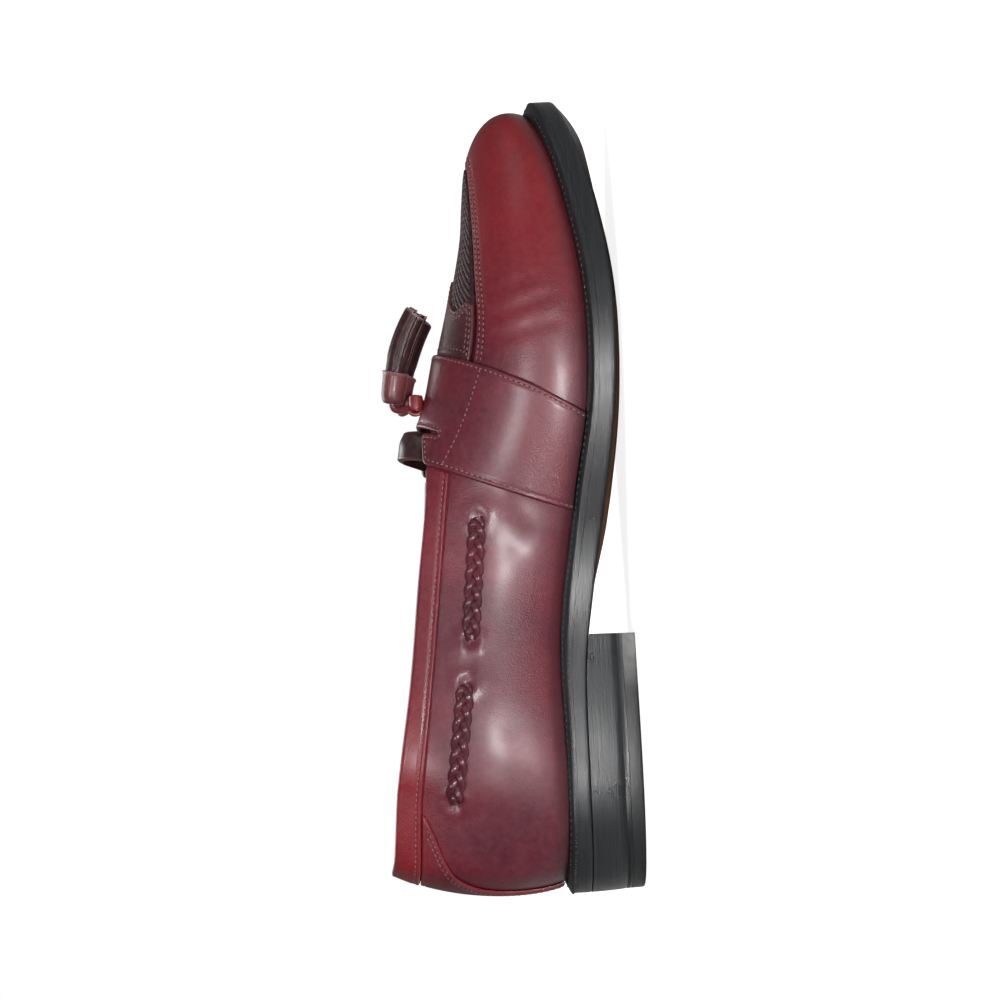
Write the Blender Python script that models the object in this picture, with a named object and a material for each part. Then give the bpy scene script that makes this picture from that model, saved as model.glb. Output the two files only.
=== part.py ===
"""Tassel loafer, left shoe, EU 41.

All sizes here are millimetres until to_world() turns them into metres.
x runs from the heel's back (0) to the toe, y is positive on the outer side of
the foot, and z is the height over the floor.
"""
import math

import bmesh
import bpy
import numpy as np
from mathutils import Vector

# Driving dimensions
SHOE_LENGTH = 292.0
BALL_WIDTH = 101.0
SHOE_HEIGHT = 91.5
HEEL_CENTRE = 43.0
HEEL_LENGTH = 93.0
HEEL_TAPER = 1.2
TOP_LIFT = 4.8
WALL = 2.4
CLEAR = 0.3
OVERLAY = 1.4
OUTSOLE_SHARE = 0.58
WELT_SEAT = 5.0
INSOLE = 2.6
MIN_FOREFOOT_DOME = 3.1
SOLE_CHAMFER = 0.8
TREAD_POWER = 2.4
BREAST_HOLLOW = 2.6
FEATHER_START = 0.012

# The size the table below is drawn for
DRAWN_LENGTH = 292.0
DRAWN_WIDTH = 101.0
DRAWN_HEIGHT = 91.5

# One row for each section of the last, heel to toe.
# x, medial, lateral: the feather line, where the upper meets the welt
# feather, sole: heights of the welt's top and of the sole's lower edge
# welt: how far the sole stands out past the feather line
# crown_x, ridge, crown: the crest that the section leans to
# power: 2 is an ellipse, more is squarer
# in_bulge, out_bulge: swell of the medial and lateral walls
# seam: height of the collar seam, then of the apron seam
# edge: height of the collar edge of the upper
COLUMNS = ("x", "medial", "lateral", "feather", "sole", "welt", "crown_x", "ridge", "crown",
           "power", "in_bulge", "out_bulge", "seam", "edge")
STATIONS = (
    (5.6, 0.0, 0.0, 28.6, 19.3, 4.6, 40.0, 0.0, 113.0, 2.2, 4.2, 4.2, 81.3, 89.7),
    (9.2, -16.5, 16.5, 28.3, 19.2, 4.0, 42.0, 0.0, 113.0, 2.3, 4.2, 4.2, 80.8, 89.0),
    (20.0, -26.3, 27.0, 27.6, 19.1, 3.3, 47.0, 0.0, 112.7, 2.6, 4.0, 4.0, 79.6, 87.0),
    (38.0, -30.8, 31.8, 27.2, 19.0, 2.8, 58.0, 0.5, 112.0, 2.8, 4.0, 3.8, 77.4, 84.6),
    (62.0, -29.3, 32.5, 27.3, 18.8, 2.6, 78.0, 1.0, 110.5, 3.0, 4.5, 3.8, 74.3, 80.9),
    (85.0, -25.6, 32.2, 27.4, 17.7, 2.4, 100.0, 1.0, 106.5, 3.0, 5.5, 3.8, 71.3, 77.8),
    (105.0, -23.6, 33.4, 25.6, 14.7, 2.3, 124.0, 0.0, 98.5, 2.9, 6.0, 3.6, 68.5, 75.0),
    (128.0, -26.2, 37.6, 21.9, 11.0, 2.8, 150.0, -2.0, 86.0, 2.6, 5.5, 3.2, 65.2, 71.4),
    (150.0, -32.4, 43.0, 18.5, 7.3, 3.8, 173.5, -4.5, 72.8, 2.3, 4.5, 3.0, 61.0, 70.0),
    (172.0, -38.6, 47.4, 14.4, 4.1, 4.6, 195.0, -6.5, 66.6, 2.2, 3.8, 3.0, 54.8, 70.0),
    (193.0, -42.3, 48.4, 12.8, 2.6, 5.0, 211.0, -7.5, 62.6, 2.2, 3.3, 3.0, 51.8, 70.0),
    (212.0, -43.0, 45.6, 13.1, 2.6, 5.0, 223.5, -7.8, 59.6, 2.25, 3.0, 3.0, 51.7, 70.0),
    (230.0, -41.2, 40.5, 14.8, 4.2, 5.0, 234.0, -7.5, 57.3, 2.3, 2.8, 2.8, 51.7, 70.0),
    (248.0, -37.4, 33.2, 18.0, 7.4, 5.0, 243.0, -7.0, 55.7, 2.4, 2.6, 2.6, 51.7, 70.0),
    (264.0, -31.6, 24.4, 21.5, 11.1, 5.0, 250.5, -6.3, 55.0, 2.5, 2.4, 2.4, 51.9, 70.0),
    (277.0, -24.0, 15.0, 25.6, 15.2, 5.0, 256.0, -5.6, 54.5, 2.55, 2.2, 2.2, 52.2, 70.0),
    (284.7, -15.0, 5.4, 28.9, 18.5, 5.0, 259.0, -5.1, 54.2, 2.6, 2.1, 2.1, 52.5, 70.0),
    (287.0, -5.0, -5.0, 30.4, 20.0, 5.0, 260.0, -5.0, 54.1, 2.6, 2.0, 2.0, 52.6, 70.0),
)

# Columns along the foot and how much closer they stand at heel and toe
COLUMN_COUNT = 32
END_EASE = 0.07
THROAT_COLUMNS = 4
WALL_ROWS = 6
TOP_ROWS = (0.35, 0.7, 1.0)

# Saddle strap, by the places of its edges on the medial side
SADDLE_BACK = (153.0, 61.4)
SADDLE_FRONT = (192.6, 52.0)
NOTCH_X = 172.4
NOTCH_FLOOR = 67.2
NOTCH_WIDTH = 1.2
LOBE_TOP = 71.0
SADDLE_GAUGE = 1.6
SADDLE_SEAT = 0.55

# Apron
RECESS = 1.5
APRON_GAUGE = 1.2
PANEL_POINT_X = 227.0
PANEL_GAUGE = 1.2
PANEL_DIP = 0.16
WEAVE_RELIEF = 0.35

# Tongue
TONGUE_BACK_X = 161.0
TONGUE_FRONT_X = 194.0
TONGUE_GAUGE = 2.2
TONGUE_LIFT = 5.0
TONGUE_CLEAR = 0.8
TONGUE_START = 0.6

# Collar band and back strap
BAND_FACE_RISE = 1.3
BAND_INNER_LEG = 5.0
STRAP_SEAT = 0.4
# Back strap: height and half width, from the feather line up
STRAP_TABLE = ((29.2, 6.0), (45.0, 6.0), (56.0, 7.5), (64.0, 11.5), (72.0, 17.0), (79.0, 22.0))

# Braids: name, the near end and the far end as x and z on the side wall
BRAIDS = (("front", (136.9, 54.6), (93.0, 59.3)), ("rear", (76.9, 61.9), (34.5, 68.0)))
BRAID_HALF_WIDTH = 3.1
BRAID_PITCH = 5.4
BRAID_HEIGHT = 2.4

# Tassels and their thong; the three places are x and z of a tassel's centre line
TASSEL_RADIUS = 4.6
CAP_RADIUS = 5.3
STRIP_COUNT = 9
TASSEL_STEPS = 40
TASSEL_ROOT = (183.0, 83.6)
TASSEL_BEND = (201.0, 81.6)
TASSEL_TIP = (215.0, 72.6)
TASSEL_SPREAD = 6.6
KNOT_X = 181.0
KNOT_WIDTH = 13.0
KNOT_HEIGHT = 5.6
THONG_RADIUS = 1.2

MATERIALS = {
    "burgundy_leather": ((0.19, 0.022, 0.034), 0.34),
    "woven_leather": ((0.045, 0.012, 0.016), 0.32),
    "dark_leather": ((0.06, 0.02, 0.026), 0.32),
    "edge_black": ((0.014, 0.015, 0.018), 0.28),
    "sole_leather": ((0.42, 0.17, 0.06), 0.55),
    "lift_rubber": ((0.02, 0.02, 0.022), 0.6),
    "insole_leather": ((0.34, 0.2, 0.11), 0.6),
}


def to_world(point):
    """A point in shoe millimetres as a point in metres, origin on the floor under the heel."""
    return Vector(((point[0] - HEEL_CENTRE) * 0.001, point[1] * 0.001, point[2] * 0.001))


def closed_rows():
    """The table as one loop: medial side heel to toe, then the lateral side back."""
    table = [dict(zip(COLUMNS, row)) for row in STATIONS]
    for row in table:
        for name in ("x", "welt", "crown_x"):
            row[name] *= SHOE_LENGTH / DRAWN_LENGTH
        for name in ("medial", "lateral", "ridge", "in_bulge", "out_bulge"):
            row[name] *= BALL_WIDTH / DRAWN_WIDTH
        for name in ("feather", "sole", "crown", "seam", "edge"):
            row[name] *= SHOE_HEIGHT / DRAWN_HEIGHT
    steps = [0.0]
    for before, after in zip(table, table[1:]):
        medial = math.hypot(after["x"] - before["x"], after["medial"] - before["medial"])
        lateral = math.hypot(after["x"] - before["x"], after["lateral"] - before["lateral"])
        steps.append(steps[-1] + (medial + lateral) / 2)
    shares = [step / steps[-1] for step in steps]
    shared = ("x", "feather", "sole", "welt", "crown_x", "ridge", "crown", "power", "seam", "edge")
    knots = []
    rows = []
    for share, row in zip(shares, table):
        knots.append(share)
        rows.append([row["medial"], row["in_bulge"]] + [row[name] for name in shared])
    for share, row in reversed(list(zip(shares, table))[1:-1]):
        knots.append(2.0 - share)
        rows.append([row["lateral"], row["out_bulge"]] + [row[name] for name in shared])
    return np.array(knots), np.array(rows), ("y", "bulge") + shared, steps[-1]


KNOTS, ROWS, NAMES, HALF_LOOP = closed_rows()


def bend_of_spline():
    """Second derivatives of the cubic spline that runs through the loop and closes."""
    count = len(KNOTS)
    gaps = np.diff(np.append(KNOTS, KNOTS[0] + 2.0))
    matrix = np.zeros((count, count))
    target = np.zeros_like(ROWS)
    for k in range(count):
        after = (k + 1) % count
        matrix[k, k - 1] += gaps[k - 1]
        matrix[k, k] += 2 * (gaps[k - 1] + gaps[k])
        matrix[k, after] += gaps[k]
        rise = (ROWS[after] - ROWS[k]) / gaps[k]
        fall = (ROWS[k] - ROWS[k - 1]) / gaps[k - 1]
        target[k] = 6 * (rise - fall)
    return gaps, np.linalg.solve(matrix, target)


GAPS, BENDS = bend_of_spline()


def station(s):
    """The section at s: 0 heel back, 1 toe tip, 0 to 1 medial, 1 to 2 lateral."""
    s = s % 2.0
    k = int(np.searchsorted(KNOTS, s, side="right")) - 1
    after = (k + 1) % len(KNOTS)
    far = (s - KNOTS[k]) / GAPS[k]
    near = 1.0 - far
    bend = (near ** 3 - near) * BENDS[k] + (far ** 3 - far) * BENDS[after]
    values = near * ROWS[k] + far * ROWS[after] + bend * GAPS[k] ** 2 / 6
    return dict(zip(NAMES, values))


def folded(s):
    """Distance from the heel back as a share, the same on both sides."""
    s = s % 2.0
    return s if s <= 1.0 else 2.0 - s


def outward(s):
    """Unit normal of the feather line in plan, pointing out of the shoe."""
    before = station(s - 0.002)
    after = station(s + 0.002)
    tangent = Vector((after["x"] - before["x"], after["y"] - before["y"])).normalized()
    return Vector((tangent.y, -tangent.x))


def crest_slope(s):
    """Slope of the crest line along the foot."""
    q = min(max(folded(s), 0.05), 0.95)
    before = station(q - 0.02)
    after = station(q + 0.02)
    return (after["crown"] - before["crown"]) / (after["crown_x"] - before["crown_x"])


def smooth_step(low, high, value):
    """0 below low, 1 above high, and a smooth rise between."""
    t = min(max((value - low) / (high - low), 0.0), 1.0)
    return t * t * (3.0 - 2.0 * t)


def swell(height):
    """Wall swell over the height of a section, 1 where it is fullest."""
    return 3.16 * max(height, 0.0) ** 0.7 * (1.0 - height)


def last_point(s, v):
    """Outer face of the upper: v is 0 at the feather line and 1 on the crest."""
    row = station(s)
    normal = outward(s)
    angle = v * math.pi / 2
    across = 1.0 - max(math.cos(angle), 0.0) ** (2 / row["power"])
    height = math.sin(angle) ** (2 / row["power"])
    turn = smooth_step(0.3, 0.85, abs(normal.x))
    lean = turn * across + (1.0 - turn) * height
    reach_x = row["crown_x"] - row["x"]
    bulge = row["bulge"] * swell(height)
    x = row["x"] + reach_x * lean + normal.x * bulge
    y = row["y"] + (row["ridge"] - row["y"]) * across + normal.y * bulge
    tilt = -crest_slope(s) * reach_x * turn * (1.0 - across) * height ** 2
    z = row["feather"] + (row["crown"] - row["feather"]) * height + tilt
    return Vector((x, y, z))


def last_normal(s, v):
    """Outward normal of the last, level at the feather line."""
    if v > 0.999:
        return Vector((-crest_slope(s), 0.0, 1.0)).normalized()
    low = max(v - 0.01, 0.0)
    high = min(v + 0.01, 1.0)
    along = last_point(s + 0.003, v) - last_point(s - 0.003, v)
    up = last_point(s, high) - last_point(s, low)
    normal = along.cross(up).normalized()
    normal.z *= min(v / 0.12, 1.0)
    return normal.normalized()


def shell_point(s, v, offset):
    """A point this far outside the last, or inside it for a negative offset."""
    return last_point(s, v) + last_normal(s, v) * offset


def share_at_height(s, z):
    """The v where the section reaches the height z, or 1 where it stays lower."""
    if station(s)["crown"] <= z:
        return 1.0
    low = 0.0
    high = 1.0
    for _ in range(22):
        middle = (low + high) / 2
        if last_point(s, middle).z < z:
            low = middle
        else:
            high = middle
    return (low + high) / 2


def locate(x, z, lateral=False):
    """The s and v of a point given by its x and z on one side of the shoe."""
    low = 0.0
    high = 1.0
    for _ in range(22):
        middle = (low + high) / 2
        s = 2.0 - middle if lateral else middle
        if last_point(s, share_at_height(s, z)).x < x:
            low = middle
        else:
            high = middle
    s = 2.0 - low if lateral else low
    return s, share_at_height(s, z)


def crest_share(x):
    """The q whose crest point has this x."""
    low = 0.0
    high = 1.0
    for _ in range(30):
        middle = (low + high) / 2
        if station(middle)["crown_x"] < x:
            low = middle
        else:
            high = middle
    return (low + high) / 2


def throat_share():
    """The q where the collar edge closes on the crest."""
    low = crest_share(165.0)
    high = crest_share(215.0)
    for _ in range(30):
        middle = (low + high) / 2
        row = station(middle)
        if row["crown"] > row["edge"]:
            low = middle
        else:
            high = middle
    return high


SADDLE_BACK_Q = locate(*SADDLE_BACK)[0]
SADDLE_FRONT_Q = locate(*SADDLE_FRONT)[0]
BAND_END_Q = SADDLE_BACK_Q - 0.004
NOTCH_Q = crest_share(NOTCH_X)
THROAT_Q = throat_share()


def loop_shares():
    """The q of each column, closer together at heel, toe and throat."""
    reach = THROAT_Q - BAND_END_Q
    shares = [THROAT_Q - reach * (k / THROAT_COLUMNS) ** 2 for k in range(THROAT_COLUMNS + 1)]
    for k in range(COLUMN_COUNT + 1):
        t = k / COLUMN_COUNT
        q = t - END_EASE * math.sin(2 * math.pi * t)
        if not BAND_END_Q - 0.012 < q < THROAT_Q + 0.012:
            shares.append(q)
    return sorted(shares)


LOOP_SHARES = loop_shares()


def both_sides(shares):
    """A closed loop of s values: medial shares heel to toe, then lateral ones back."""
    return list(shares) + [2.0 - q for q in reversed(shares[1:-1])]


def mesh_object(name, slot, points, faces):
    """A closed mesh object of shoe points, its faces turned outward."""
    mesh = bpy.data.meshes.new(name)
    mesh.from_pydata([to_world(point) for point in points], [], faces)
    surface = bmesh.new()
    surface.from_mesh(mesh)
    bmesh.ops.recalc_face_normals(surface, faces=surface.faces)
    surface.to_mesh(mesh)
    surface.free()
    mesh.shade_smooth()
    mesh.set_sharp_from_angle(angle=math.radians(40))
    part = bpy.data.objects.new(name, mesh)
    part.data.materials.append(bpy.data.materials[slot])
    bpy.data.collections["tassel_loafer"].objects.link(part)
    return part


def close_layers(name, slot, outer, inner, faces):
    """One solid from two matching layers of points, with walls on every free edge."""
    count = len(outer)
    sides = set()
    for face in faces:
        for a, b in zip(face, face[1:] + face[:1]):
            sides.add((a, b))
    solid = [list(face) for face in faces]
    solid += [[corner + count for corner in reversed(face)] for face in faces]
    for a, b in sorted(sides):
        if (b, a) not in sides:
            solid.append([b, a, a + count, b + count])
    return mesh_object(name, slot, outer + inner, solid)


def grid_solid(name, slot, columns, rows, outer, inner, keep=None, same=None, wrap=False):
    """A sheet on a grid of columns and rows.

    outer and inner give the two points of a grid place, keep says which cells
    are filled, and same names places that share one point.
    """
    index = {}
    outer_points = []
    inner_points = []
    for i in range(columns):
        for j in range(rows):
            place = same(i, j) if same else (i, j)
            if place not in index:
                index[place] = len(outer_points)
                outer_points.append(outer(*place))
                inner_points.append(inner(*place))
            index[(i, j)] = index[place]
    faces = []
    for i in range(columns if wrap else columns - 1):
        after = (i + 1) % columns
        for j in range(rows - 1):
            if keep and not keep(i, j):
                continue
            a, b, c, d = index[(i, j)], index[(after, j)], index[(after, j + 1)], index[(i, j + 1)]
            faces += [list(face) for face in ((a, b, c), (a, c, d)) if len(set(face)) == 3]
    used = sorted({corner for face in faces for corner in face})
    order = {corner: k for k, corner in enumerate(used)}
    faces = [[order[corner] for corner in face] for face in faces]
    outer_points = [outer_points[corner] for corner in used]
    inner_points = [inner_points[corner] for corner in used]
    return close_layers(name, slot, outer_points, inner_points, faces)


def recess_share(s):
    """How much of the apron recess there is: none in the quarters, all ahead of the strap."""
    return smooth_step(SADDLE_BACK_Q + 0.01, SADDLE_FRONT_Q - 0.01, folded(s))


def upper_rows(s):
    """The v of each row, with one row on the seam."""
    row = station(s)
    seam = share_at_height(s, row["seam"])
    top = share_at_height(s, row["edge"])
    shares = [seam * j / WALL_ROWS for j in range(WALL_ROWS + 1)]
    step = 0.16 - 0.12 * recess_share(s)
    shares.append(seam + (top - seam) * step)
    shares += [seam + (top - seam) * t for t in TOP_ROWS]
    return shares


def build_upper():
    """Vamp and quarters as one hollow wall, open at the collar and underneath."""
    loop = both_sides(LOOP_SHARES)
    count = len(loop)
    levels = [upper_rows(s) for s in loop]
    rows = len(levels[0])
    throat = LOOP_SHARES.index(THROAT_Q)

    def same(i, j):
        if j == rows - 1 and count // 2 < i <= count - throat:
            return (count - i, j)
        return (i, j)

    def outer(i, j):
        sunk = RECESS * recess_share(loop[i]) if j > WALL_ROWS else 0.0
        return shell_point(loop[i], levels[i][j], -sunk)

    def inner(i, j):
        return shell_point(loop[i], levels[i][j], -WALL)

    return grid_solid("upper", "burgundy_leather", count, rows, outer, inner, same=same, wrap=True)


def edge_point(s, out, z):
    """A point at this distance outside the feather line, in plan, and this height."""
    row = station(s)
    normal = outward(s)
    return Vector((row["x"] + normal.x * out, row["y"] + normal.y * out, z))


def sole_joint(s):
    """Height of the joint between outsole and welt."""
    row = station(s)
    return row["sole"] + (row["feather"] - row["sole"]) * OUTSOLE_SHARE


def ring_solid(name, slot, rings, cells, low_height=None):
    """A plate from rings, lowest first, whose first and last are closed by rows across."""
    count = len(rings[0])
    half = count // 2
    points = [point for ring in rings for point in ring]
    faces = []
    for level in range(len(rings) - 1):
        base = level * count
        for i in range(count):
            after = (i + 1) % count
            faces.append([base + i, base + after, base + count + after, base + count + i])
    for level, flip in ((0, True), (len(rings) - 1, False)):
        lines = [[level * count]]
        for i in range(1, half):
            near = level * count + i
            far = level * count + count - i
            line = [near]
            for k in range(1, cells):
                t = k / cells
                point = points[near].lerp(points[far], t)
                if level == 0 and low_height:
                    point.z = low_height(i, t, point.z)
                line.append(len(points))
                points.append(point)
            lines.append(line + [far])
        lines.append([level * count + half])
        for line, after in zip(lines, lines[1:]):
            for k in range(cells):
                corners = [line[min(k, len(line) - 1)], after[min(k, len(after) - 1)],
                           after[min(k + 1, len(after) - 1)], line[min(k + 1, len(line) - 1)]]
                face = [c for n, c in enumerate(corners) if c not in corners[:n]]
                faces.append(list(reversed(face)) if flip else face)
    return mesh_object(name, slot, points, faces)


def dome_depth(q):
    """How far the sole's middle hangs under its edge."""
    edge = station(q)["sole"]
    fade = smooth_step(0.36, 0.5, q) * (1.0 - smooth_step(0.9, 1.0, q))
    return max(MIN_FOREFOOT_DOME, 0.35 * edge) * fade


def build_outsole():
    """Leather outsole with its waist, toe spring and rounded tread."""
    loop = both_sides(LOOP_SHARES)

    def tread(i, t, z):
        hang = dome_depth(LOOP_SHARES[i]) * (1.0 - abs(2 * t - 1) ** TREAD_POWER)
        return max(z - hang, 0.0)

    bottom = [edge_point(s, station(s)["welt"] - SOLE_CHAMFER, station(s)["sole"]) for s in loop]
    side = [edge_point(s, station(s)["welt"], station(s)["sole"] + SOLE_CHAMFER) for s in loop]
    top = [edge_point(s, station(s)["welt"], sole_joint(s) - CLEAR / 2) for s in loop]
    return ring_solid("outsole", "sole_leather", [bottom, side, top], 8, tread)


def build_welt():
    """Welt around the feather line, its top bevelled down to the sole's edge."""
    loop = both_sides(LOOP_SHARES)
    count = len(loop)

    def section(i):
        row = station(loop[i])
        low = sole_joint(loop[i]) + CLEAR / 2
        top = row["feather"] - CLEAR
        bevel = 0.5 * (row["feather"] - low)
        shape = ((-WELT_SEAT, low), (-WELT_SEAT, top), (0.6, top), (row["welt"], top - bevel),
                 (row["welt"], low))
        return [edge_point(loop[i], out, z) for out, z in shape]

    rings = [section(i) for i in range(count)]
    rows = len(rings[0])
    points = [point for ring in rings for point in ring]
    faces = []
    for i in range(count):
        after = (i + 1) % count
        for j in range(rows):
            up = (j + 1) % rows
            faces.append([i * rows + j, after * rows + j, after * rows + up, i * rows + up])
    return mesh_object("welt", "edge_black", points, faces)


def build_insole():
    """Insole with the filling that beds it in the welt."""
    loop = both_sides(LOOP_SHARES)
    bed = -WELT_SEAT - CLEAR
    edge = -WALL - CLEAR
    ring_bed = [edge_point(s, bed, sole_joint(s) + CLEAR / 2) for s in loop]
    ring_step = [edge_point(s, bed, station(s)["feather"]) for s in loop]
    ring_rim = [edge_point(s, edge, station(s)["feather"]) for s in loop]
    ring_top = [edge_point(s, edge - 0.4, station(s)["feather"] + INSOLE) for s in loop]
    return ring_solid("insole", "insole_leather", [ring_bed, ring_step, ring_rim, ring_top], 2)


def heel_grid():
    """Columns of the heel: shares from the heel back to the breast."""
    shares = [q for q in LOOP_SHARES if station(q)["x"] < HEEL_LENGTH - 4.0]
    return shares + [locate_feather(HEEL_LENGTH)]


def locate_feather(x):
    """The q whose feather point has this x."""
    low = 0.0
    high = 1.0
    for _ in range(30):
        middle = (low + high) / 2
        if station(middle)["x"] < x:
            low = middle
        else:
            high = middle
    return (low + high) / 2


def heel_layer(shares, across, taper, height):
    """Points of one level of the heel, columns heel to breast and rows across."""
    layer = {}
    for i, q in enumerate(shares):
        for j in range(across):
            t = j / (across - 1)
            medial = edge_point(q, station(q)["welt"] - taper, 0.0)
            lateral = edge_point(2.0 - q, station(2.0 - q)["welt"] - taper, 0.0)
            point = medial.lerp(lateral, t)
            if i == len(shares) - 1:
                point.x -= BREAST_HOLLOW * (1.0 - (2 * t - 1) ** 2)
            point.z = height(q)
            layer[(i, j)] = point
    return layer


def build_heel():
    """Stacked heel and its top lift, both tapering a little to the floor."""
    shares = heel_grid()
    across = 5

    def same(i, j):
        return (0, 0) if i == 0 else (i, j)

    def under_sole(q):
        return station(q)["sole"] - CLEAR

    def lift_top(q):
        return TOP_LIFT

    def stack_foot(q):
        return TOP_LIFT + CLEAR

    def floor(q):
        return 0.0

    levels = (("heel_stack", "edge_black", 0.0, under_sole, HEEL_TAPER * 0.75, stack_foot),
              ("top_lift", "lift_rubber", HEEL_TAPER * 0.78, lift_top, HEEL_TAPER, floor))
    for name, slot, top_taper, top_height, low_taper, low_height in levels:
        top = heel_layer(shares, across, top_taper, top_height)
        low = heel_layer(shares, across, low_taper, low_height)
        grid_solid(name, slot, len(shares), across, lambda i, j: top[(i, j)],
                   lambda i, j: low[(i, j)], same=same)


def spaced(start, end, count):
    """This many values from start to end."""
    return [start + (end - start) * k / (count - 1) for k in range(count)]


def build_saddle():
    """Strap over the instep with its rear lobes, cut free of the centre band by a notch."""
    notch = NOTCH_Q
    slit = crest_share(NOTCH_X - NOTCH_WIDTH)
    shares = spaced(SADDLE_BACK_Q, slit, 4) + spaced(notch, SADDLE_FRONT_Q, 6)
    first_band = 4
    low_rows = 7
    band_rows = 5
    medial_rows = low_rows + 2 + band_rows

    def levels(q, side):
        s = q if side < 0 else 2.0 - q
        capped = s if q <= notch else (notch if side < 0 else 2.0 - notch)
        floor = share_at_height(capped, NOTCH_FLOOR)
        lobe = share_at_height(capped, LOBE_TOP)
        values = [FEATHER_START + (floor - FEATHER_START) * j / (low_rows - 1)
                  for j in range(low_rows)]
        values += [(floor + lobe) / 2, lobe]
        values += [lobe + (1.0 - lobe) * (k + 1) / band_rows for k in range(band_rows)]
        return s, values

    table = [(levels(q, -1), levels(q, 1)) for q in shares]
    rows = 2 * medial_rows - 1

    def place(i, j, offset):
        medial, lateral = table[i]
        if j < medial_rows:
            return shell_point(medial[0], medial[1][j], offset)
        return shell_point(lateral[0], lateral[1][rows - 1 - j], offset)

    def keep(i, j):
        level = min(j, rows - 2 - j)
        if i >= first_band:
            return True
        if i == first_band - 1:
            return level < low_rows - 1
        return level < low_rows + 1

    return grid_solid("saddle", "burgundy_leather", len(shares), rows,
                      lambda i, j: place(i, j, SADDLE_SEAT + SADDLE_GAUGE),
                      lambda i, j: place(i, j, SADDLE_SEAT), keep=keep)


def build_tongue():
    """Tongue under the saddle, rising behind the band."""
    columns = 8
    side_rows = 6
    rows = 2 * side_rows - 1
    side_back = SADDLE_BACK_Q + 0.006
    crest_back = crest_share(TONGUE_BACK_X)
    front = crest_share(TONGUE_FRONT_X)

    def place(i, j, depth):
        level = min(j, rows - 1 - j) / (side_rows - 1)
        back = side_back + (crest_back - side_back) * math.sin(level * math.pi / 2) ** 2.5
        q = back + (front - back) * i / (columns - 1)
        s = q if j < side_rows else 2.0 - q
        v = TONGUE_START + (1.0 - TONGUE_START) * level
        free = share_at_height(s, station(s)["edge"])
        rise = 1.0 - smooth_step(TONGUE_BACK_X, NOTCH_X, station(q)["crown_x"])
        open_share = max(v - free, 0.0) / (1.0 - free) if free < 0.95 else 0.0
        lift = TONGUE_LIFT * rise * math.sin(open_share * math.pi / 2) ** 1.5
        return shell_point(s, v, lift - WALL - TONGUE_CLEAR - depth)

    return grid_solid("tongue", "dark_leather", columns, rows,
                      lambda i, j: place(i, j, 0.0), lambda i, j: place(i, j, TONGUE_GAUGE))


def build_apron():
    """Woven apron let into the vamp, raised where one strip crosses over another."""
    front = [q for q in LOOP_SHARES if q > SADDLE_FRONT_Q + 0.012]
    back = SADDLE_FRONT_Q + 0.004
    loop = [back] + front + [2.0 - q for q in reversed(front[:-1])] + [2.0 - back]
    rows = 6
    count = len(loop)
    half = (count - 1) // 2

    def level(i, j):
        s = loop[i]
        seam, step = upper_rows(s)[WALL_ROWS:WALL_ROWS + 2]
        start = step + FEATHER_START
        return start + (1.0 - start) * j / (rows - 1)

    def same(i, j):
        if j == rows - 1 and i > half:
            return (count - 1 - i, j)
        return (i, j)

    def outer(i, j):
        over = WEAVE_RELIEF if (i + j) % 2 and j < rows - 1 else 0.0
        return shell_point(loop[i], level(i, j), -RECESS + CLEAR + APRON_GAUGE - over)

    def inner(i, j):
        return shell_point(loop[i], level(i, j), -RECESS + CLEAR)

    return grid_solid("woven_apron", "woven_leather", count, rows, outer, inner, same=same)


def build_panel():
    """Plain panel over the apron's rear end, with a bracket-shaped front edge."""
    back = SADDLE_FRONT_Q + 0.004
    corner = crest_share(PANEL_POINT_X)
    columns = 5
    side_rows = 6
    rows = 2 * side_rows - 1

    def place(i, j, offset):
        level = min(j, rows - 1 - j) / (side_rows - 1)
        dip = PANEL_DIP * math.sin(math.pi * min(level * 1.15, 1.0)) ** 0.8
        q = back + (corner - back) * (i / (columns - 1)) * (1.0 - dip)
        s = q if j < side_rows else 2.0 - q
        start = upper_rows(s)[WALL_ROWS + 1] + 0.02
        return shell_point(s, start + (1.0 - start) * level, offset)

    return grid_solid("apron_panel", "burgundy_leather", columns, rows,
                      lambda i, j: place(i, j, 2 * CLEAR + PANEL_GAUGE),
                      lambda i, j: place(i, j, 2 * CLEAR - 0.1))


def build_collar_band():
    """Band folded over the collar edge, from strap to strap round the heel."""
    medial = [q for q in LOOP_SHARES if q <= BAND_END_Q]
    loop = [2.0 - q for q in reversed(medial)] + medial[1:]

    def section(i):
        s = loop[i] % 2.0
        leg = share_at_height(s, station(s)["edge"] - BAND_INNER_LEG)
        face = upper_rows(s)[WALL_ROWS:]
        face.pop(1)
        edge = face[-1]
        inside = -WALL - 2 * CLEAR
        top = shell_point(s, edge, -WALL / 2)
        rise = Vector((0.0, 0.0, CLEAR))
        inner = [shell_point(s, v, CLEAR) for v in face[:-1]]
        inner += [shell_point(s, edge, CLEAR) + rise, top + rise, shell_point(s, edge, inside) + rise,
                  shell_point(s, leg, inside)]
        rise = Vector((0.0, 0.0, CLEAR + BAND_FACE_RISE))
        outer = [shell_point(s, v, CLEAR + OVERLAY) for v in face[:-1]]
        outer += [shell_point(s, edge, CLEAR + OVERLAY * 0.7) + rise * 0.55, top + rise,
                  shell_point(s, edge, inside - OVERLAY * 0.6) + rise * 0.55,
                  shell_point(s, leg, inside - OVERLAY * 0.7)]
        return outer, inner

    sections = [section(i) for i in range(len(loop))]
    rows = len(sections[0][0])
    return grid_solid("collar_band", "burgundy_leather", len(loop), rows,
                      lambda i, j: sections[i][0][j], lambda i, j: sections[i][1][j])


def strap_half_width(z):
    """Half width of the back strap at a height."""
    heights = [row[0] for row in STRAP_TABLE]
    widths = [row[1] for row in STRAP_TABLE]
    return float(np.interp(z, heights, widths))


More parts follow.
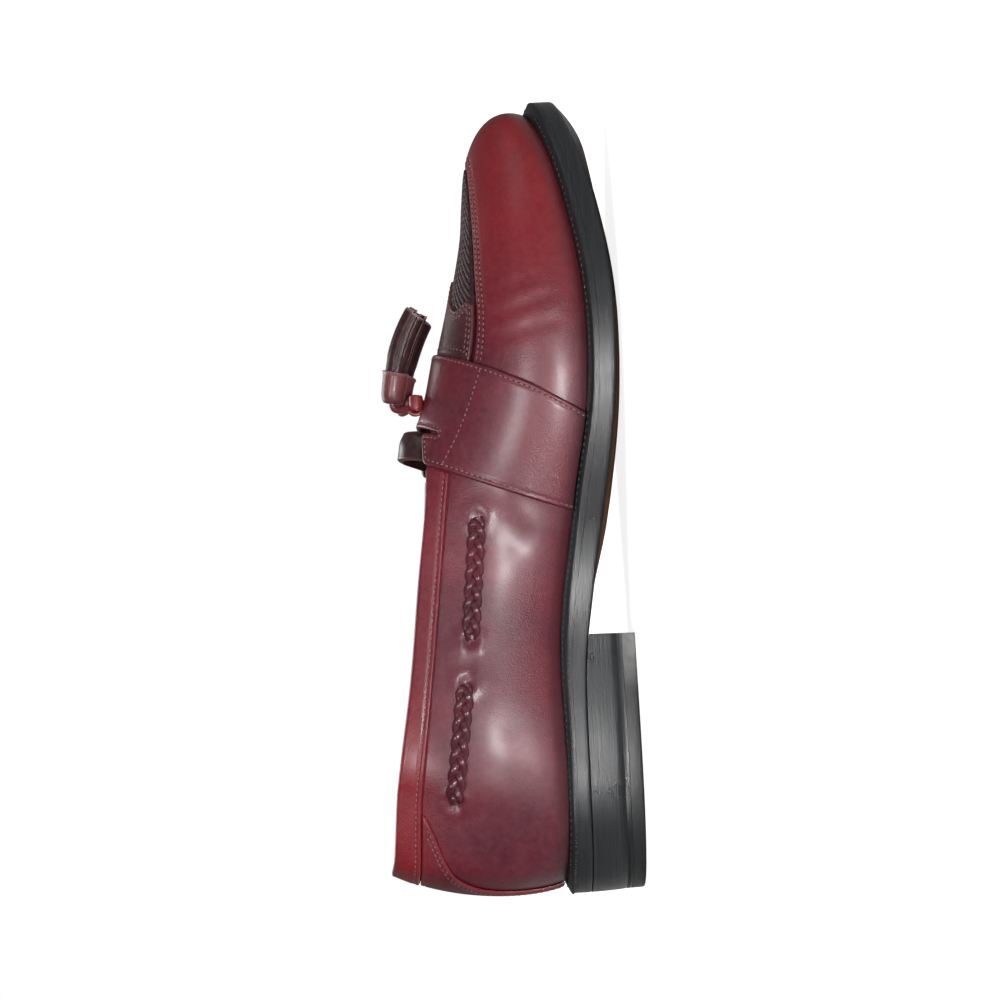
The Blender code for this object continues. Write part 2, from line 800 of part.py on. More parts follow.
def build_back_strap():
    """Strap down the heel's back, spreading out under the collar band."""
    columns = 11
    rows = 9
    seat = CLEAR + STRAP_SEAT
    foot, head = STRAP_TABLE[0][0], STRAP_TABLE[-1][0]

    def place(i, j, offset):
        side = 2.0 * i / (columns - 1) - 1.0
        t = j / (rows - 1)
        guess = foot + (head - foot) * t
        s = (-side * strap_half_width(guess) / HALF_LOOP) % 2.0
        top = share_at_height(s, station(s)["seam"] - 0.5)
        return shell_point(s, FEATHER_START + (top - FEATHER_START) * t, offset)

    return grid_solid("back_strap", "burgundy_leather", columns, rows,
                      lambda i, j: place(i, j, seat + OVERLAY * 0.8),
                      lambda i, j: place(i, j, seat))


def build_braid(side_name, place_name, near, far):
    """Three-strand braid along the quarter: strands cross in raised chevrons."""
    lateral = side_name == "lateral"
    start = locate(*near, lateral)
    end = locate(*far, lateral)
    start_s = start[0]
    end_s = end[0]
    length = math.dist(near, far)
    turns = round(length / BRAID_PITCH)
    columns = turns * 3 + 1
    lanes = (-1.0, -0.4, 0.4, 1.0)

    def frame(t):
        s = start_s + (end_s - start_s) * t
        z = near[1] + (far[1] - near[1]) * t
        return s, z

    def place(i, j, raised):
        t = i / (columns - 1)
        s, z = frame(t)
        taper = 0.62 + 0.38 * smooth_step(0.0, 0.08, t) * (1.0 - smooth_step(0.92, 1.0, t))
        lane = lanes[j] * taper
        v = share_at_height(s, z + lane * BRAID_HALF_WIDTH)
        if not raised:
            return shell_point(s, v, CLEAR)
        beat = turns * t + (0.5 if j >= 2 else 0.0) + 0.25 * abs(lanes[j])
        crown = 0.75 + 0.25 * math.cos(2 * math.pi * beat)
        rim = 0.45 if abs(lanes[j]) > 0.9 else 1.0
        return shell_point(s, v, CLEAR + BRAID_HEIGHT * crown * rim * taper)

    return grid_solid("braid_" + side_name + "_" + place_name, "burgundy_leather", columns,
                      len(lanes), lambda i, j: place(i, j, True), lambda i, j: place(i, j, False))


def tube_solid(name, slot, path, radii, sides, ripple=None):
    """A round body along a path, closed at both ends."""
    points = []
    faces = []
    count = len(path)
    for i, centre in enumerate(path):
        ahead = (path[min(i + 1, count - 1)] - path[max(i - 1, 0)]).normalized()
        side = ahead.cross(Vector((0.0, 0.0, 1.0))).normalized()
        up = side.cross(ahead)
        for k in range(sides):
            angle = 2 * math.pi * k / sides
            radius = radii[i] * (ripple(i, k) if ripple else 1.0)
            points.append(centre + side * (radius * math.cos(angle)) + up * (radius * math.sin(angle)))
    for i in range(count - 1):
        for k in range(sides):
            after = (k + 1) % sides
            faces.append([i * sides + k, i * sides + after, (i + 1) * sides + after, (i + 1) * sides + k])
    for row, centre in ((0, path[0]), (count - 1, path[-1])):
        hub = len(points)
        points.append(centre)
        for k in range(sides):
            faces.append([row * sides + k, row * sides + (k + 1) % sides, hub])
    return mesh_object(name, slot, points, faces)


def tassel_path(side):
    """Centre line of a tassel from its cap's rear end to its tip, and where the cap ends."""
    ridge = station(crest_share(TASSEL_ROOT[0]))["ridge"]
    root = Vector((TASSEL_ROOT[0], ridge + side * TASSEL_SPREAD, TASSEL_ROOT[1]))
    bend = Vector((TASSEL_BEND[0], ridge + side * (TASSEL_SPREAD + 2.0), TASSEL_BEND[1]))
    tip = Vector((TASSEL_TIP[0], ridge + side * (TASSEL_SPREAD + 5.0), TASSEL_TIP[1]))
    path = []
    for k in range(TASSEL_STEPS + 1):
        t = k / TASSEL_STEPS
        path.append(root * (1 - t) ** 2 + bend * (2 * t * (1 - t)) + tip * t ** 2)
    return path


def build_tassel(name, side):
    """Cap and a rolled fringe whose strips are fused side by side."""
    line = tassel_path(side)
    stops = ((0, 0.72), (1, 0.9), (5, 0.98), (13, 1.1), (14, 1.02))
    path = [line[k] for k, _ in stops]
    radii = [CAP_RADIUS * share for _, share in stops]
    fringe = (14, 17, 23, 29, 35, 39, 40)
    swellings = (0.9, 0.98, 1.0, 1.0, 0.98, 0.95, 0.8)
    path += [line[k] + Vector((0.002, 0.0, 0.0)) for k in fringe]
    radii += [TASSEL_RADIUS * share for share in swellings]
    sides = 2 * STRIP_COUNT

    def ripple(i, k):
        if i < len(stops):
            return 1.0
        return 1.0 if k % 2 else 0.86

    return tube_solid(name, "burgundy_leather", path, radii, sides, ripple)


def build_thong():
    """Knot on the band, and the thong ends that run up to the caps."""
    place = crest_share(KNOT_X)
    ridge = station(place)["ridge"]
    seat = shell_point(place, 1.0, SADDLE_SEAT + SADDLE_GAUGE + CLEAR)
    centre = seat + Vector((0.0, 0.0, KNOT_HEIGHT / 2 + CLEAR))
    rings = 7
    path = []
    radii = []
    for k in range(rings):
        t = 2.0 * k / (rings - 1) - 1.0
        path.append(Vector((centre.x, ridge + t * KNOT_WIDTH / 2, centre.z - 1.4 * t * t)))
        radii.append(KNOT_HEIGHT / 2 * math.sqrt(max(1.0 - 0.82 * t * t, 0.05)))
    tube_solid("thong_knot", "burgundy_leather", path, radii, 10)
    for name, side in (("thong_medial", -1), ("thong_lateral", 1)):
        root = tassel_path(side)[0]
        ahead = (tassel_path(side)[1] - root).normalized()
        end = root - ahead * CLEAR
        foot = Vector((centre.x - 1.0, ridge + side * 2.6, centre.z + KNOT_HEIGHT / 2 + 0.5))
        middle = end - ahead * 4.0
        line = [foot * (1 - t) ** 2 + middle * (2 * t * (1 - t)) + end * t ** 2 for t in spaced(0, 1, 5)]
        tube_solid(name, "dark_leather", line, [THONG_RADIUS] * 5, 8)


def make_materials():
    """A Principled material for each kind of surface."""
    for name, (color, roughness) in MATERIALS.items():
        material = bpy.data.materials.new(name)
        material.use_nodes = True
        shader = material.node_tree.nodes["Principled BSDF"]
        shader.inputs["Base Color"].default_value = (*color, 1.0)
        shader.inputs["Roughness"].default_value = roughness
        shader.inputs["Metallic"].default_value = 0.0
        material.diffuse_color = (*color, 1.0)


def clear_scene():
    """Remove what the file opened with."""
    for item in list(bpy.data.objects):
        bpy.data.objects.remove(item, do_unlink=True)


def main():
    clear_scene()
    collection = bpy.data.collections.new("tassel_loafer")
    bpy.context.scene.collection.children.link(collection)
    make_materials()
    build_outsole()
    build_welt()
    build_insole()
    build_heel()
    build_upper()
    build_tongue()
    build_saddle()
    build_apron()
    build_panel()
    build_collar_band()
    build_back_strap()
    for side_name in ("medial", "lateral"):
        for place_name, near, far in BRAIDS:
            build_braid(side_name, place_name, near, far)
    build_thong()
    build_tassel("tassel_medial", -1)
    build_tassel("tassel_lateral", 1)


main()
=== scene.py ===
import math

import bmesh
import bpy
import numpy as np
from mathutils import Matrix, Vector
from mathutils.geometry import delaunay_2d_cdt

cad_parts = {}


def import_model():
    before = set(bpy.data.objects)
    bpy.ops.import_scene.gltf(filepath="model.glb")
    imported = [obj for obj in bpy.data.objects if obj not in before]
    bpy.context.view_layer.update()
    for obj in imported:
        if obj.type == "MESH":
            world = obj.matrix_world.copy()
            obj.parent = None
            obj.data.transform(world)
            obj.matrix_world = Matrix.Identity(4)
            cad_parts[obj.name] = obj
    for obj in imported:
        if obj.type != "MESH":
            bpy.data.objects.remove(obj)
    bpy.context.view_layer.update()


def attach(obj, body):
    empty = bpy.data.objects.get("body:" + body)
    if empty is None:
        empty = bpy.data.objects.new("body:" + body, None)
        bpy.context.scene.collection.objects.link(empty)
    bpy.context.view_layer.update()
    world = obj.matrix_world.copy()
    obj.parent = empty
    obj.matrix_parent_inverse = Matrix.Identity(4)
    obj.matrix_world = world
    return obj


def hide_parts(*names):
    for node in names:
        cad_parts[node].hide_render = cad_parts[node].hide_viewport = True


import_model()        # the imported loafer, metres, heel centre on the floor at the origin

dice = np.random.default_rng(41)

# The last, in millimetres: x from the heel back, y to the outer side, z from the floor.
# x medial lateral feather sole welt crownX ridge crown power inBulge outBulge seam edge
lastTable = np.array([
    (5.6, 0.0, 0.0, 28.6, 19.3, 4.6, 40.0, 0.0, 113.0, 2.2, 4.2, 4.2, 81.3, 89.7),
    (9.2, -16.5, 16.5, 28.3, 19.2, 4.0, 42.0, 0.0, 113.0, 2.3, 4.2, 4.2, 80.8, 89.0),
    (20.0, -26.3, 27.0, 27.6, 19.1, 3.3, 47.0, 0.0, 112.7, 2.6, 4.0, 4.0, 79.6, 87.0),
    (38.0, -30.8, 31.8, 27.2, 19.0, 2.8, 58.0, 0.5, 112.0, 2.8, 4.0, 3.8, 77.4, 84.6),
    (62.0, -29.3, 32.5, 27.3, 18.8, 2.6, 78.0, 1.0, 110.5, 3.0, 4.5, 3.8, 74.3, 80.9),
    (85.0, -25.6, 32.2, 27.4, 17.7, 2.4, 100.0, 1.0, 106.5, 3.0, 5.5, 3.8, 71.3, 77.8),
    (105.0, -23.6, 33.4, 25.6, 14.7, 2.3, 124.0, 0.0, 98.5, 2.9, 6.0, 3.6, 68.5, 75.0),
    (128.0, -26.2, 37.6, 21.9, 11.0, 2.8, 150.0, -2.0, 86.0, 2.6, 5.5, 3.2, 65.2, 71.4),
    (150.0, -32.4, 43.0, 18.5, 7.3, 3.8, 173.5, -4.5, 72.8, 2.3, 4.5, 3.0, 61.0, 70.0),
    (172.0, -38.6, 47.4, 14.4, 4.1, 4.6, 195.0, -6.5, 66.6, 2.2, 3.8, 3.0, 54.8, 70.0),
    (193.0, -42.3, 48.4, 12.8, 2.6, 5.0, 211.0, -7.5, 62.6, 2.2, 3.3, 3.0, 51.8, 70.0),
    (212.0, -43.0, 45.6, 13.1, 2.6, 5.0, 223.5, -7.8, 59.6, 2.25, 3.0, 3.0, 51.7, 70.0),
    (230.0, -41.2, 40.5, 14.8, 4.2, 5.0, 234.0, -7.5, 57.3, 2.3, 2.8, 2.8, 51.7, 70.0),
    (248.0, -37.4, 33.2, 18.0, 7.4, 5.0, 243.0, -7.0, 55.7, 2.4, 2.6, 2.6, 51.7, 70.0),
    (264.0, -31.6, 24.4, 21.5, 11.1, 5.0, 250.5, -6.3, 55.0, 2.5, 2.4, 2.4, 51.9, 70.0),
    (277.0, -24.0, 15.0, 25.6, 15.2, 5.0, 256.0, -5.6, 54.5, 2.55, 2.2, 2.2, 52.2, 70.0),
    (284.7, -15.0, 5.4, 28.9, 18.5, 5.0, 259.0, -5.1, 54.2, 2.6, 2.1, 2.1, 52.5, 70.0),
    (287.0, -5.0, -5.0, 30.4, 20.0, 5.0, 260.0, -5.0, 54.1, 2.6, 2.0, 2.0, 52.6, 70.0)])
heelCentre = 43.0        # x of the world origin
wall = 2.4               # thickness of the upper
seat = 0.12              # gap left under a piece that lies on the upper


def closeLoop():
    x, medial, lateral = lastTable[:, 0], lastTable[:, 1], lastTable[:, 2]
    step = (np.hypot(np.diff(x), np.diff(medial)) + np.hypot(np.diff(x), np.diff(lateral))) / 2
    share = np.concatenate([[0.0], np.cumsum(step)]) / step.sum()
    common = [0, 3, 4, 5, 6, 7, 8, 9, 12, 13]
    inner = np.column_stack([medial, lastTable[:, 10], lastTable[:, common]])
    outer = np.column_stack([lateral, lastTable[:, 11], lastTable[:, common]])
    rows = np.vstack([inner, outer[-2:0:-1]])
    return np.concatenate([share, 2.0 - share[-2:0:-1]]), rows, step.sum()


knots, rows, halfLoop = closeLoop()
columnOf = {name: k for k, name in enumerate(
    "y bulge x feather sole welt crownX ridge crown power seam edge".split())}


def bendOfSpline():
    count = len(knots)
    gaps = np.diff(np.append(knots, knots[0] + 2.0))
    matrix = np.zeros((count, count))
    target = np.zeros_like(rows)
    for k in range(count):
        after = (k + 1) % count
        matrix[k, k - 1] += gaps[k - 1]
        matrix[k, k] += 2 * (gaps[k - 1] + gaps[k])
        matrix[k, after] += gaps[k]
        target[k] = 6 * ((rows[after] - rows[k]) / gaps[k] - (rows[k] - rows[k - 1]) / gaps[k - 1])
    return gaps, np.linalg.solve(matrix, target)


gaps, bends = bendOfSpline()


def station(s):          # s: 0 heel back, 1 toe, medial side up to 1, lateral side after it
    s = np.mod(np.asarray(s, float), 2.0)
    k = np.searchsorted(knots, s, side="right") - 1
    after = (k + 1) % len(knots)
    far = ((s - knots[k]) / gaps[k])[..., None]
    near = 1.0 - far
    bend = (near ** 3 - near) * bends[k] + (far ** 3 - far) * bends[after]
    return near * rows[k] + far * rows[after] + bend * (gaps[k] ** 2)[..., None] / 6


def value(s, name):
    return station(s)[..., columnOf[name]]


def folded(s):
    s = np.mod(s, 2.0)
    return np.where(s <= 1.0, s, 2.0 - s)


def smoothStep(low, high, x):
    t = np.clip((np.asarray(x, float) - low) / (high - low), 0.0, 1.0)
    return t * t * (3.0 - 2.0 * t)


def outward(s):
    before, after = station(s - 0.002), station(s + 0.002)
    dx = after[..., 2] - before[..., 2]
    dy = after[..., 0] - before[..., 0]
    size = np.hypot(dx, dy)
    return dy / size, -dx / size


def crestSlope(s):
    q = np.clip(folded(s), 0.05, 0.95)
    before, after = station(q - 0.02), station(q + 0.02)
    return (after[..., 8] - before[..., 8]) / (after[..., 6] - before[..., 6])


def lastPoint(s, v):     # v: 0 on the feather line, 1 on the crest
    s, v = np.broadcast_arrays(np.asarray(s, float), np.asarray(v, float))
    row = station(s)
    y, bulge, x, feather, _, _, crownX, ridge, crown, power = (row[..., k] for k in range(10))
    nx, ny = outward(s)
    angle = v * math.pi / 2
    across = 1.0 - np.maximum(np.cos(angle), 0.0) ** (2 / power)
    height = np.sin(angle) ** (2 / power)
    turn = smoothStep(0.3, 0.85, np.abs(nx))
    lean = turn * across + (1.0 - turn) * height
    reach = crownX - x
    swell = bulge * 3.16 * height ** 0.7 * (1.0 - height)
    tilt = -crestSlope(s) * reach * turn * (1.0 - across) * height ** 2
    return np.stack([x + reach * lean + nx * swell,
                     y + (ridge - y) * across + ny * swell,
                     feather + (crown - feather) * height + tilt], axis=-1)


def unit(vectors):
    return vectors / np.maximum(np.linalg.norm(vectors, axis=-1, keepdims=True), 1e-12)


def lastNormal(s, v):
    s, v = np.broadcast_arrays(np.asarray(s, float), np.asarray(v, float))
    low, high = np.maximum(v - 0.01, 0.0), np.minimum(v + 0.01, 1.0)
    along = lastPoint(s + 0.003, v) - lastPoint(s - 0.003, v)
    normal = unit(np.cross(along, lastPoint(s, high) - lastPoint(s, low)))
    normal[..., 2] *= np.minimum(v / 0.12, 1.0)
    slope = crestSlope(s)
    crest = unit(np.stack([-slope, np.zeros_like(slope), np.ones_like(slope)], axis=-1))
    return np.where((v > 0.999)[..., None], crest, unit(normal))


def shell(s, v, offset=0.0):
    return lastPoint(s, v) + lastNormal(s, v) * np.asarray(offset, float)[..., None]


def world(points):
    return (np.asarray(points, float) - (heelCentre, 0.0, 0.0)) * 0.001


def shareAtHeight(s, z):
    s, z = np.broadcast_arrays(np.asarray(s, float), np.asarray(z, float))
    low, high = np.zeros(s.shape), np.ones(s.shape)
    for _ in range(22):
        middle = (low + high) / 2
        under = lastPoint(s, middle)[..., 2] < z
        low, high = np.where(under, middle, low), np.where(under, high, middle)
    return np.where(value(s, "crown") <= z, 1.0, (low + high) / 2)


def bisect(test, low=0.0, high=1.0):     # the place where test turns from true to false
    for _ in range(26):
        middle = (low + high) / 2
        low, high = (middle, high) if test(middle) else (low, middle)
    return (low + high) / 2


def locate(x, z, lateral=False):
    side = (lambda q: 2.0 - q) if lateral else (lambda q: q)
    q = bisect(lambda m: lastPoint(side(m), shareAtHeight(side(m), z))[0] < x)
    return side(q), float(shareAtHeight(side(q), z))


def crestShare(x):
    return bisect(lambda m: value(m, "crownX") < x)


strapBackQ = locate(153.0, 61.4)[0]
strapFrontQ = locate(192.6, 52.0)[0]
throatQ = bisect(lambda m: value(m, "crown") > value(m, "edge"), crestShare(165.0), crestShare(215.0))
arcSteps = np.linspace(0.0, 1.0, 121)


def arcs(s):             # length along the section from the feather line, for each s
    line = lastPoint(np.asarray(s, float)[:, None], arcSteps[None, :])
    length = np.linalg.norm(np.diff(line, axis=1), axis=-1)
    return np.concatenate([np.zeros((len(line), 1)), np.cumsum(length, axis=1)], axis=1)


def vAway(s, vStart, away):              # v at these distances up (+) or down (-) from vStart
    table = arcs(s)
    out = np.zeros((len(s), len(away)))
    for k, line in enumerate(table):
        start = np.interp(vStart[k], arcSteps, line)
        out[k] = np.interp(start + away, line, arcSteps)
    return out


print("last ready", round(halfLoop, 1), "mm half way round")


# Node helpers
def addNode(tree, kind, inputs=None, **settings):
    node = tree.nodes.new(kind)
    for name, setting in settings.items():
        setattr(node, name, setting)
    for name, given in (inputs or {}).items():
        socket = node.inputs[name]
        if isinstance(given, bpy.types.NodeSocket):
            tree.links.new(given, socket)
        else:
            socket.default_value = given
    return node


def made(tree, kind, inputs=None, **settings):       # the first output of a new node
    return addNode(tree, kind, inputs, **settings).outputs[0]


def maths(tree, operation, *values, clamp=False):
    node = addNode(tree, "ShaderNodeMath", dict(enumerate(values)), operation=operation, use_clamp=clamp)
    return node.outputs[0]


def blendColor(tree, factor, a, b):
    node = addNode(tree, "ShaderNodeMix", data_type="RGBA")
    for socket, given in ((node.inputs[0], factor), (node.inputs[6], a), (node.inputs[7], b)):
        if isinstance(given, bpy.types.NodeSocket):
            tree.links.new(given, socket)
        else:
            socket.default_value = given
    return node.outputs[2]


def fit(tree, source, low, high, toLow=0.0, toHigh=1.0):
    node = addNode(tree, "ShaderNodeMapRange", {0: source, 1: low, 2: high, 3: toLow, 4: toHigh})
    return node.outputs[0]


def noise(tree, place, scale, detail=3.0, rough=0.5, distortion=0.0):
    node = addNode(tree, "ShaderNodeTexNoise", {"Vector": place, "Scale": scale, "Detail": detail,
                                                "Roughness": rough, "Distortion": distortion})
    return node.outputs["Fac"]


def startMaterial(name):
    material = bpy.data.materials.new(name)
    material.use_nodes = True
    tree = material.node_tree
    shader = tree.nodes["Principled BSDF"]
    place = addNode(tree, "ShaderNodeTexCoord").outputs["Object"]
    return material, tree, shader, place


def stretched(tree, place, scale):
    return made(tree, "ShaderNodeMapping", {"Vector": place, "Scale": scale})


def attribute(tree, name):
    return addNode(tree, "ShaderNodeAttribute", attribute_name=name).outputs["Fac"]


def bump(tree, height, distance, strength=1.0, normal=None):
    inputs = {"Height": height, "Distance": distance, "Strength": strength}
    if normal:
        inputs["Normal"] = normal
    return made(tree, "ShaderNodeBump", inputs)


leatherLook = {
    "mid": (0.18, 0.011, 0.028, 1), "deep": (0.095, 0.006, 0.02, 1), "rubbed": (0.33, 0.01, 0.016, 1),
    "rough": 0.39, "grain": 0.00011, "wrinkle": 0.00002, "coat": 0.35, "coatRough": 0.25, "shine": 0.5}


def leather(name, look):
    material, tree, shader, place = startMaterial(name)
    cloud = noise(tree, place, 24, 4, 0.6, 0.6)
    fleck = noise(tree, place, 420, 3, 0.6)
    color = blendColor(tree, fit(tree, cloud, 0.36, 0.66), look["deep"], look["mid"])
    patch = noise(tree, place, 55, 3, 0.55, 1.0)
    rub = maths(tree, "MULTIPLY", attribute(tree, "rub"), fit(tree, patch, 0.25, 0.6, 0.55, 1.0), clamp=True)
    color = blendColor(tree, rub, color, look["rubbed"])
    color = blendColor(tree, fit(tree, fleck, 0.3, 0.75, 0.0, 0.22), color, (0.3, 0.09, 0.09, 1))
    # the "dark" attribute blends toward near black: mostly painted shade (by the welt, in the plug seam's
    # grooves, between the woven strips, round the tassel cap); it also darkens the saddle's cut edges and the
    # thongs all over
    dark = maths(tree, "MULTIPLY", attribute(tree, "dark"), 0.85, clamp=True)
    color = blendColor(tree, dark, color, (0.022, 0.006, 0.009, 1))
    tree.links.new(color, shader.inputs["Base Color"])
    smear = noise(tree, stretched(tree, place, (60, 60, 160)), 1.0, 4, 0.6)
    rough = fit(tree, smear, 0.25, 0.75, look["rough"] - 0.06, look["rough"] + 0.1)
    tree.links.new(rough, shader.inputs["Roughness"])
    cells = addNode(tree, "ShaderNodeTexVoronoi", {"Vector": place, "Scale": 2000.0, "Randomness": 1.0},
                    feature="SMOOTH_F1").outputs["Distance"]
    fine = maths(tree, "ADD", cells, maths(tree, "MULTIPLY", noise(tree, place, 2600, 2), 0.5))
    wrinkle = noise(tree, place, 330, 5, 0.65, 0.8)
    normal = bump(tree, wrinkle, look["wrinkle"])
    tree.links.new(bump(tree, fine, look["grain"], 1.0, normal), shader.inputs["Normal"])
    shader.inputs["Specular IOR Level"].default_value = look["shine"]
    shader.inputs["Coat Weight"].default_value = look["coat"]
    shader.inputs["Coat Roughness"].default_value = look["coatRough"]
    return material


burgundy = leather("burgundyCalf", leatherLook)
darkCalf = leather("darkCalf", dict(leatherLook, mid=(0.03, 0.016, 0.019, 1), deep=(0.014, 0.01, 0.012, 1),
                                    rubbed=(0.16, 0.06, 0.05, 1), rough=0.32, coat=0.3, grain=0.00004))
panelCalf = leather("panelCalf", dict(leatherLook, mid=(0.06, 0.012, 0.018, 1), deep=(0.03, 0.008, 0.012, 1),
                                      rubbed=(0.2, 0.06, 0.07, 1), coat=0.15, shine=0.35))
wovenCalf = leather("wovenCalf", dict(leatherLook, mid=(0.03, 0.014, 0.018, 1), deep=(0.012, 0.008, 0.01, 1),
                                      rubbed=(0.07, 0.05, 0.055, 1), rough=0.5, coat=0.05, shine=0.3,
                                      grain=0.00004))


def edgeMaterial(name, color, rough, streak):
    material, tree, shader, place = startMaterial(name)
    lines = noise(tree, stretched(tree, place, (30, 30, 1700)), 1.0, 5, 0.7)
    smudge = noise(tree, place, 45, 4, 0.6, 0.8)
    grey = blendColor(tree, fit(tree, lines, 0.35, 0.75, 0.0, streak), color, (0.07, 0.078, 0.088, 1))
    grey = blendColor(tree, maths(tree, "MULTIPLY", attribute(tree, "rub"), fit(tree, smudge, 0.35, 0.65)),
                      grey, (0.3, 0.3, 0.29, 1))
    tree.links.new(grey, shader.inputs["Base Color"])
    tree.links.new(fit(tree, smudge, 0.3, 0.7, rough - 0.05, rough + 0.12), shader.inputs["Roughness"])
    shader.inputs["Specular IOR Level"].default_value = 0.75
    normal = bump(tree, lines, 0.0001)
    tree.links.new(bump(tree, noise(tree, place, 900, 3), 0.00003, 1.0, normal), shader.inputs["Normal"])
    return material


edgeBlack = edgeMaterial("edgeBlack", (0.008, 0.009, 0.01, 1), 0.3, 0.3)
heelBlack = edgeMaterial("heelBlack", (0.008, 0.009, 0.01, 1), 0.28, 0.4)
liftBlack = edgeMaterial("liftBlack", (0.016, 0.016, 0.017, 1), 0.42, 0.2)


def plainLeather(name, low, high, rough, grain=0.00008):
    material, tree, shader, place = startMaterial(name)
    cloud = noise(tree, place, 35, 5, 0.6, 0.5)
    fleck = noise(tree, place, 700, 3, 0.6)
    color = blendColor(tree, fit(tree, cloud, 0.3, 0.7), low, high)
    color = blendColor(tree, fit(tree, fleck, 0.4, 0.8, 0.0, 0.25), color, low)
    # painted shade from the "dark" attribute: the lining gets the upper's painted shade along the welt
    color = blendColor(tree, maths(tree, "MULTIPLY", attribute(tree, "dark"), 0.8, clamp=True), color,
                       (0.03, 0.015, 0.01, 1))
    tree.links.new(color, shader.inputs["Base Color"])
    tree.links.new(fit(tree, cloud, 0.3, 0.7, rough, rough + 0.15), shader.inputs["Roughness"])
    tree.links.new(bump(tree, noise(tree, place, 1300, 4, 0.6), grain), shader.inputs["Normal"])
    return material


soleTan = plainLeather("soleTan", (0.2, 0.075, 0.028, 1), (0.42, 0.18, 0.075, 1), 0.42)
liningTan = plainLeather("liningTan", (0.26, 0.16, 0.09, 1), (0.4, 0.27, 0.16, 1), 0.55)
insoleTan = plainLeather("insoleTan", (0.3, 0.18, 0.1, 1), (0.46, 0.31, 0.19, 1), 0.5)


def threadMaterial(name, color, rough=0.6):
    material, tree, shader, place = startMaterial(name)
    twist = noise(tree, place, 2200, 2, 0.5)
    dark = tuple(c * 0.5 for c in color[:3]) + (1,)
    tree.links.new(blendColor(tree, fit(tree, twist, 0.35, 0.65), dark, color), shader.inputs["Base Color"])
    shader.inputs["Roughness"].default_value = rough
    tree.links.new(bump(tree, twist, 0.00008), shader.inputs["Normal"])
    return material


seamThread = threadMaterial("seamThread", (0.42, 0.2, 0.2, 1))
weltThreadAndMarkGlint = threadMaterial("weltThreadAndMarkGlint", (0.085, 0.085, 0.09, 1))
# near-black dots between the stitches: painted shade standing in for the stitch holes
paintedHoleShade = threadMaterial("paintedHoleShade", (0.012, 0.004, 0.006, 1), 0.8)
print("materials ready")


# Mesh helpers
def addObject(name, data):
    holder = bpy.data.objects.new(name, data)
    bpy.context.scene.collection.objects.link(holder)
    return holder


def makeMesh(name, points, faces, materials, slots=None, values=None, sharp=48.0):
    mesh = bpy.data.meshes.new(name)
    mesh.from_pydata(np.asarray(points).tolist(), [], faces)
    # rub marks wear; dark darkens, mostly as painted shade
    for key in ("rub", "dark"):
        layer = mesh.attributes.new(key, "FLOAT", "POINT")
        given = (values or {}).get(key, 0.0)
        layer.data.foreach_set("value", np.broadcast_to(given, len(points)).astype(np.float32))
    for material in materials:
        mesh.materials.append(material)
    if slots is not None:
        mesh.polygons.foreach_set("material_index", np.asarray(slots, np.int32))
    surface = bmesh.new()
    surface.from_mesh(mesh)
    bmesh.ops.remove_doubles(surface, verts=surface.verts, dist=2e-6)
    bmesh.ops.recalc_face_normals(surface, faces=surface.faces)
    surface.to_mesh(mesh)
    surface.free()
    mesh.shade_smooth()
    mesh.set_sharp_from_angle(angle=math.radians(sharp))
    return addObject(name, mesh)


def place(piece, slot, *nodes):          # rides the shoe, and stands for its CAD nodes
    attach(piece, "root")
    if nodes:
        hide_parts(*nodes)
    return piece


def quads(columns, count, wrap=False):
    i = np.arange(columns if wrap else columns - 1)[:, None]
    j = np.arange(count - 1)[None, :]
    after = (i + 1) % columns
    return np.stack([i * count + j, after * count + j, after * count + j + 1, i * count + j + 1],
                    axis=-1).reshape(-1, 4)


def bandFaces(rings, count, closed=False):           # between rings of count points each
    i = np.arange(rings if closed else rings - 1)[:, None]
    j = np.arange(count)[None, :]
    after, beside = (i + 1) % rings, (j + 1) % count
    return np.stack([i * count + j, after * count + j, after * count + beside, i * count + beside],
                    axis=-1).reshape(-1, 4)


def bentLine(first, middle, last, share):
    return first * (1 - share) ** 2 + middle * 2 * share * (1 - share) + last * share ** 2


def gridShell(name, outer, inner, materials, wrap=False, openTop=None, values=None, innerSlot=0, sharp=48.0):
    columns, count = outer.shape[:2]
    total = columns * count
    front = quads(columns, count, wrap)
    faces = [front, front[:, ::-1] + total]
    last = columns if wrap else columns - 1
    i = np.arange(last)
    after = (i + 1) % columns
    faces.append(np.stack([after * count, i * count, i * count + total, after * count + total], axis=-1))
    top = np.stack([i * count, after * count, after * count + total, i * count + total], axis=-1) + count - 1
    keep = np.ones(last, bool) if openTop is None else openTop[i] & openTop[after]
    faces.append(top[keep])
    if not wrap:
        j = np.arange(count - 1)
        faces.append(np.stack([j, j + 1, j + 1 + total, j + total], axis=-1))
        end = (columns - 1) * count + j
        faces.append(np.stack([end + 1, end, end + total, end + 1 + total], axis=-1))
    slots = np.concatenate([np.full(len(part), innerSlot if k == 1 else 0) for k, part in enumerate(faces)])
    points = np.concatenate([outer.reshape(-1, 3), inner.reshape(-1, 3)])
    both = {key: np.concatenate([np.ravel(given), np.ravel(given)]) for key, given in (values or {}).items()}
    return makeMesh(name, world(points), np.concatenate(faces).tolist(), materials, slots, both, sharp)


def bothSides(shares):
    return np.concatenate([shares, 2.0 - shares[-2:0:-1]])


def roundOver(distance, radius, thickness, lip=0.3):      # height of a cut edge, away from its side
    t = np.clip(1.0 - distance / radius, 0.0, 1.0)
    return thickness * (lip + (1.0 - lip) * np.sqrt(1.0 - t * t))


def groove(distance, at, width, depth):
    return -depth * np.exp(-((distance - at) / width) ** 2)


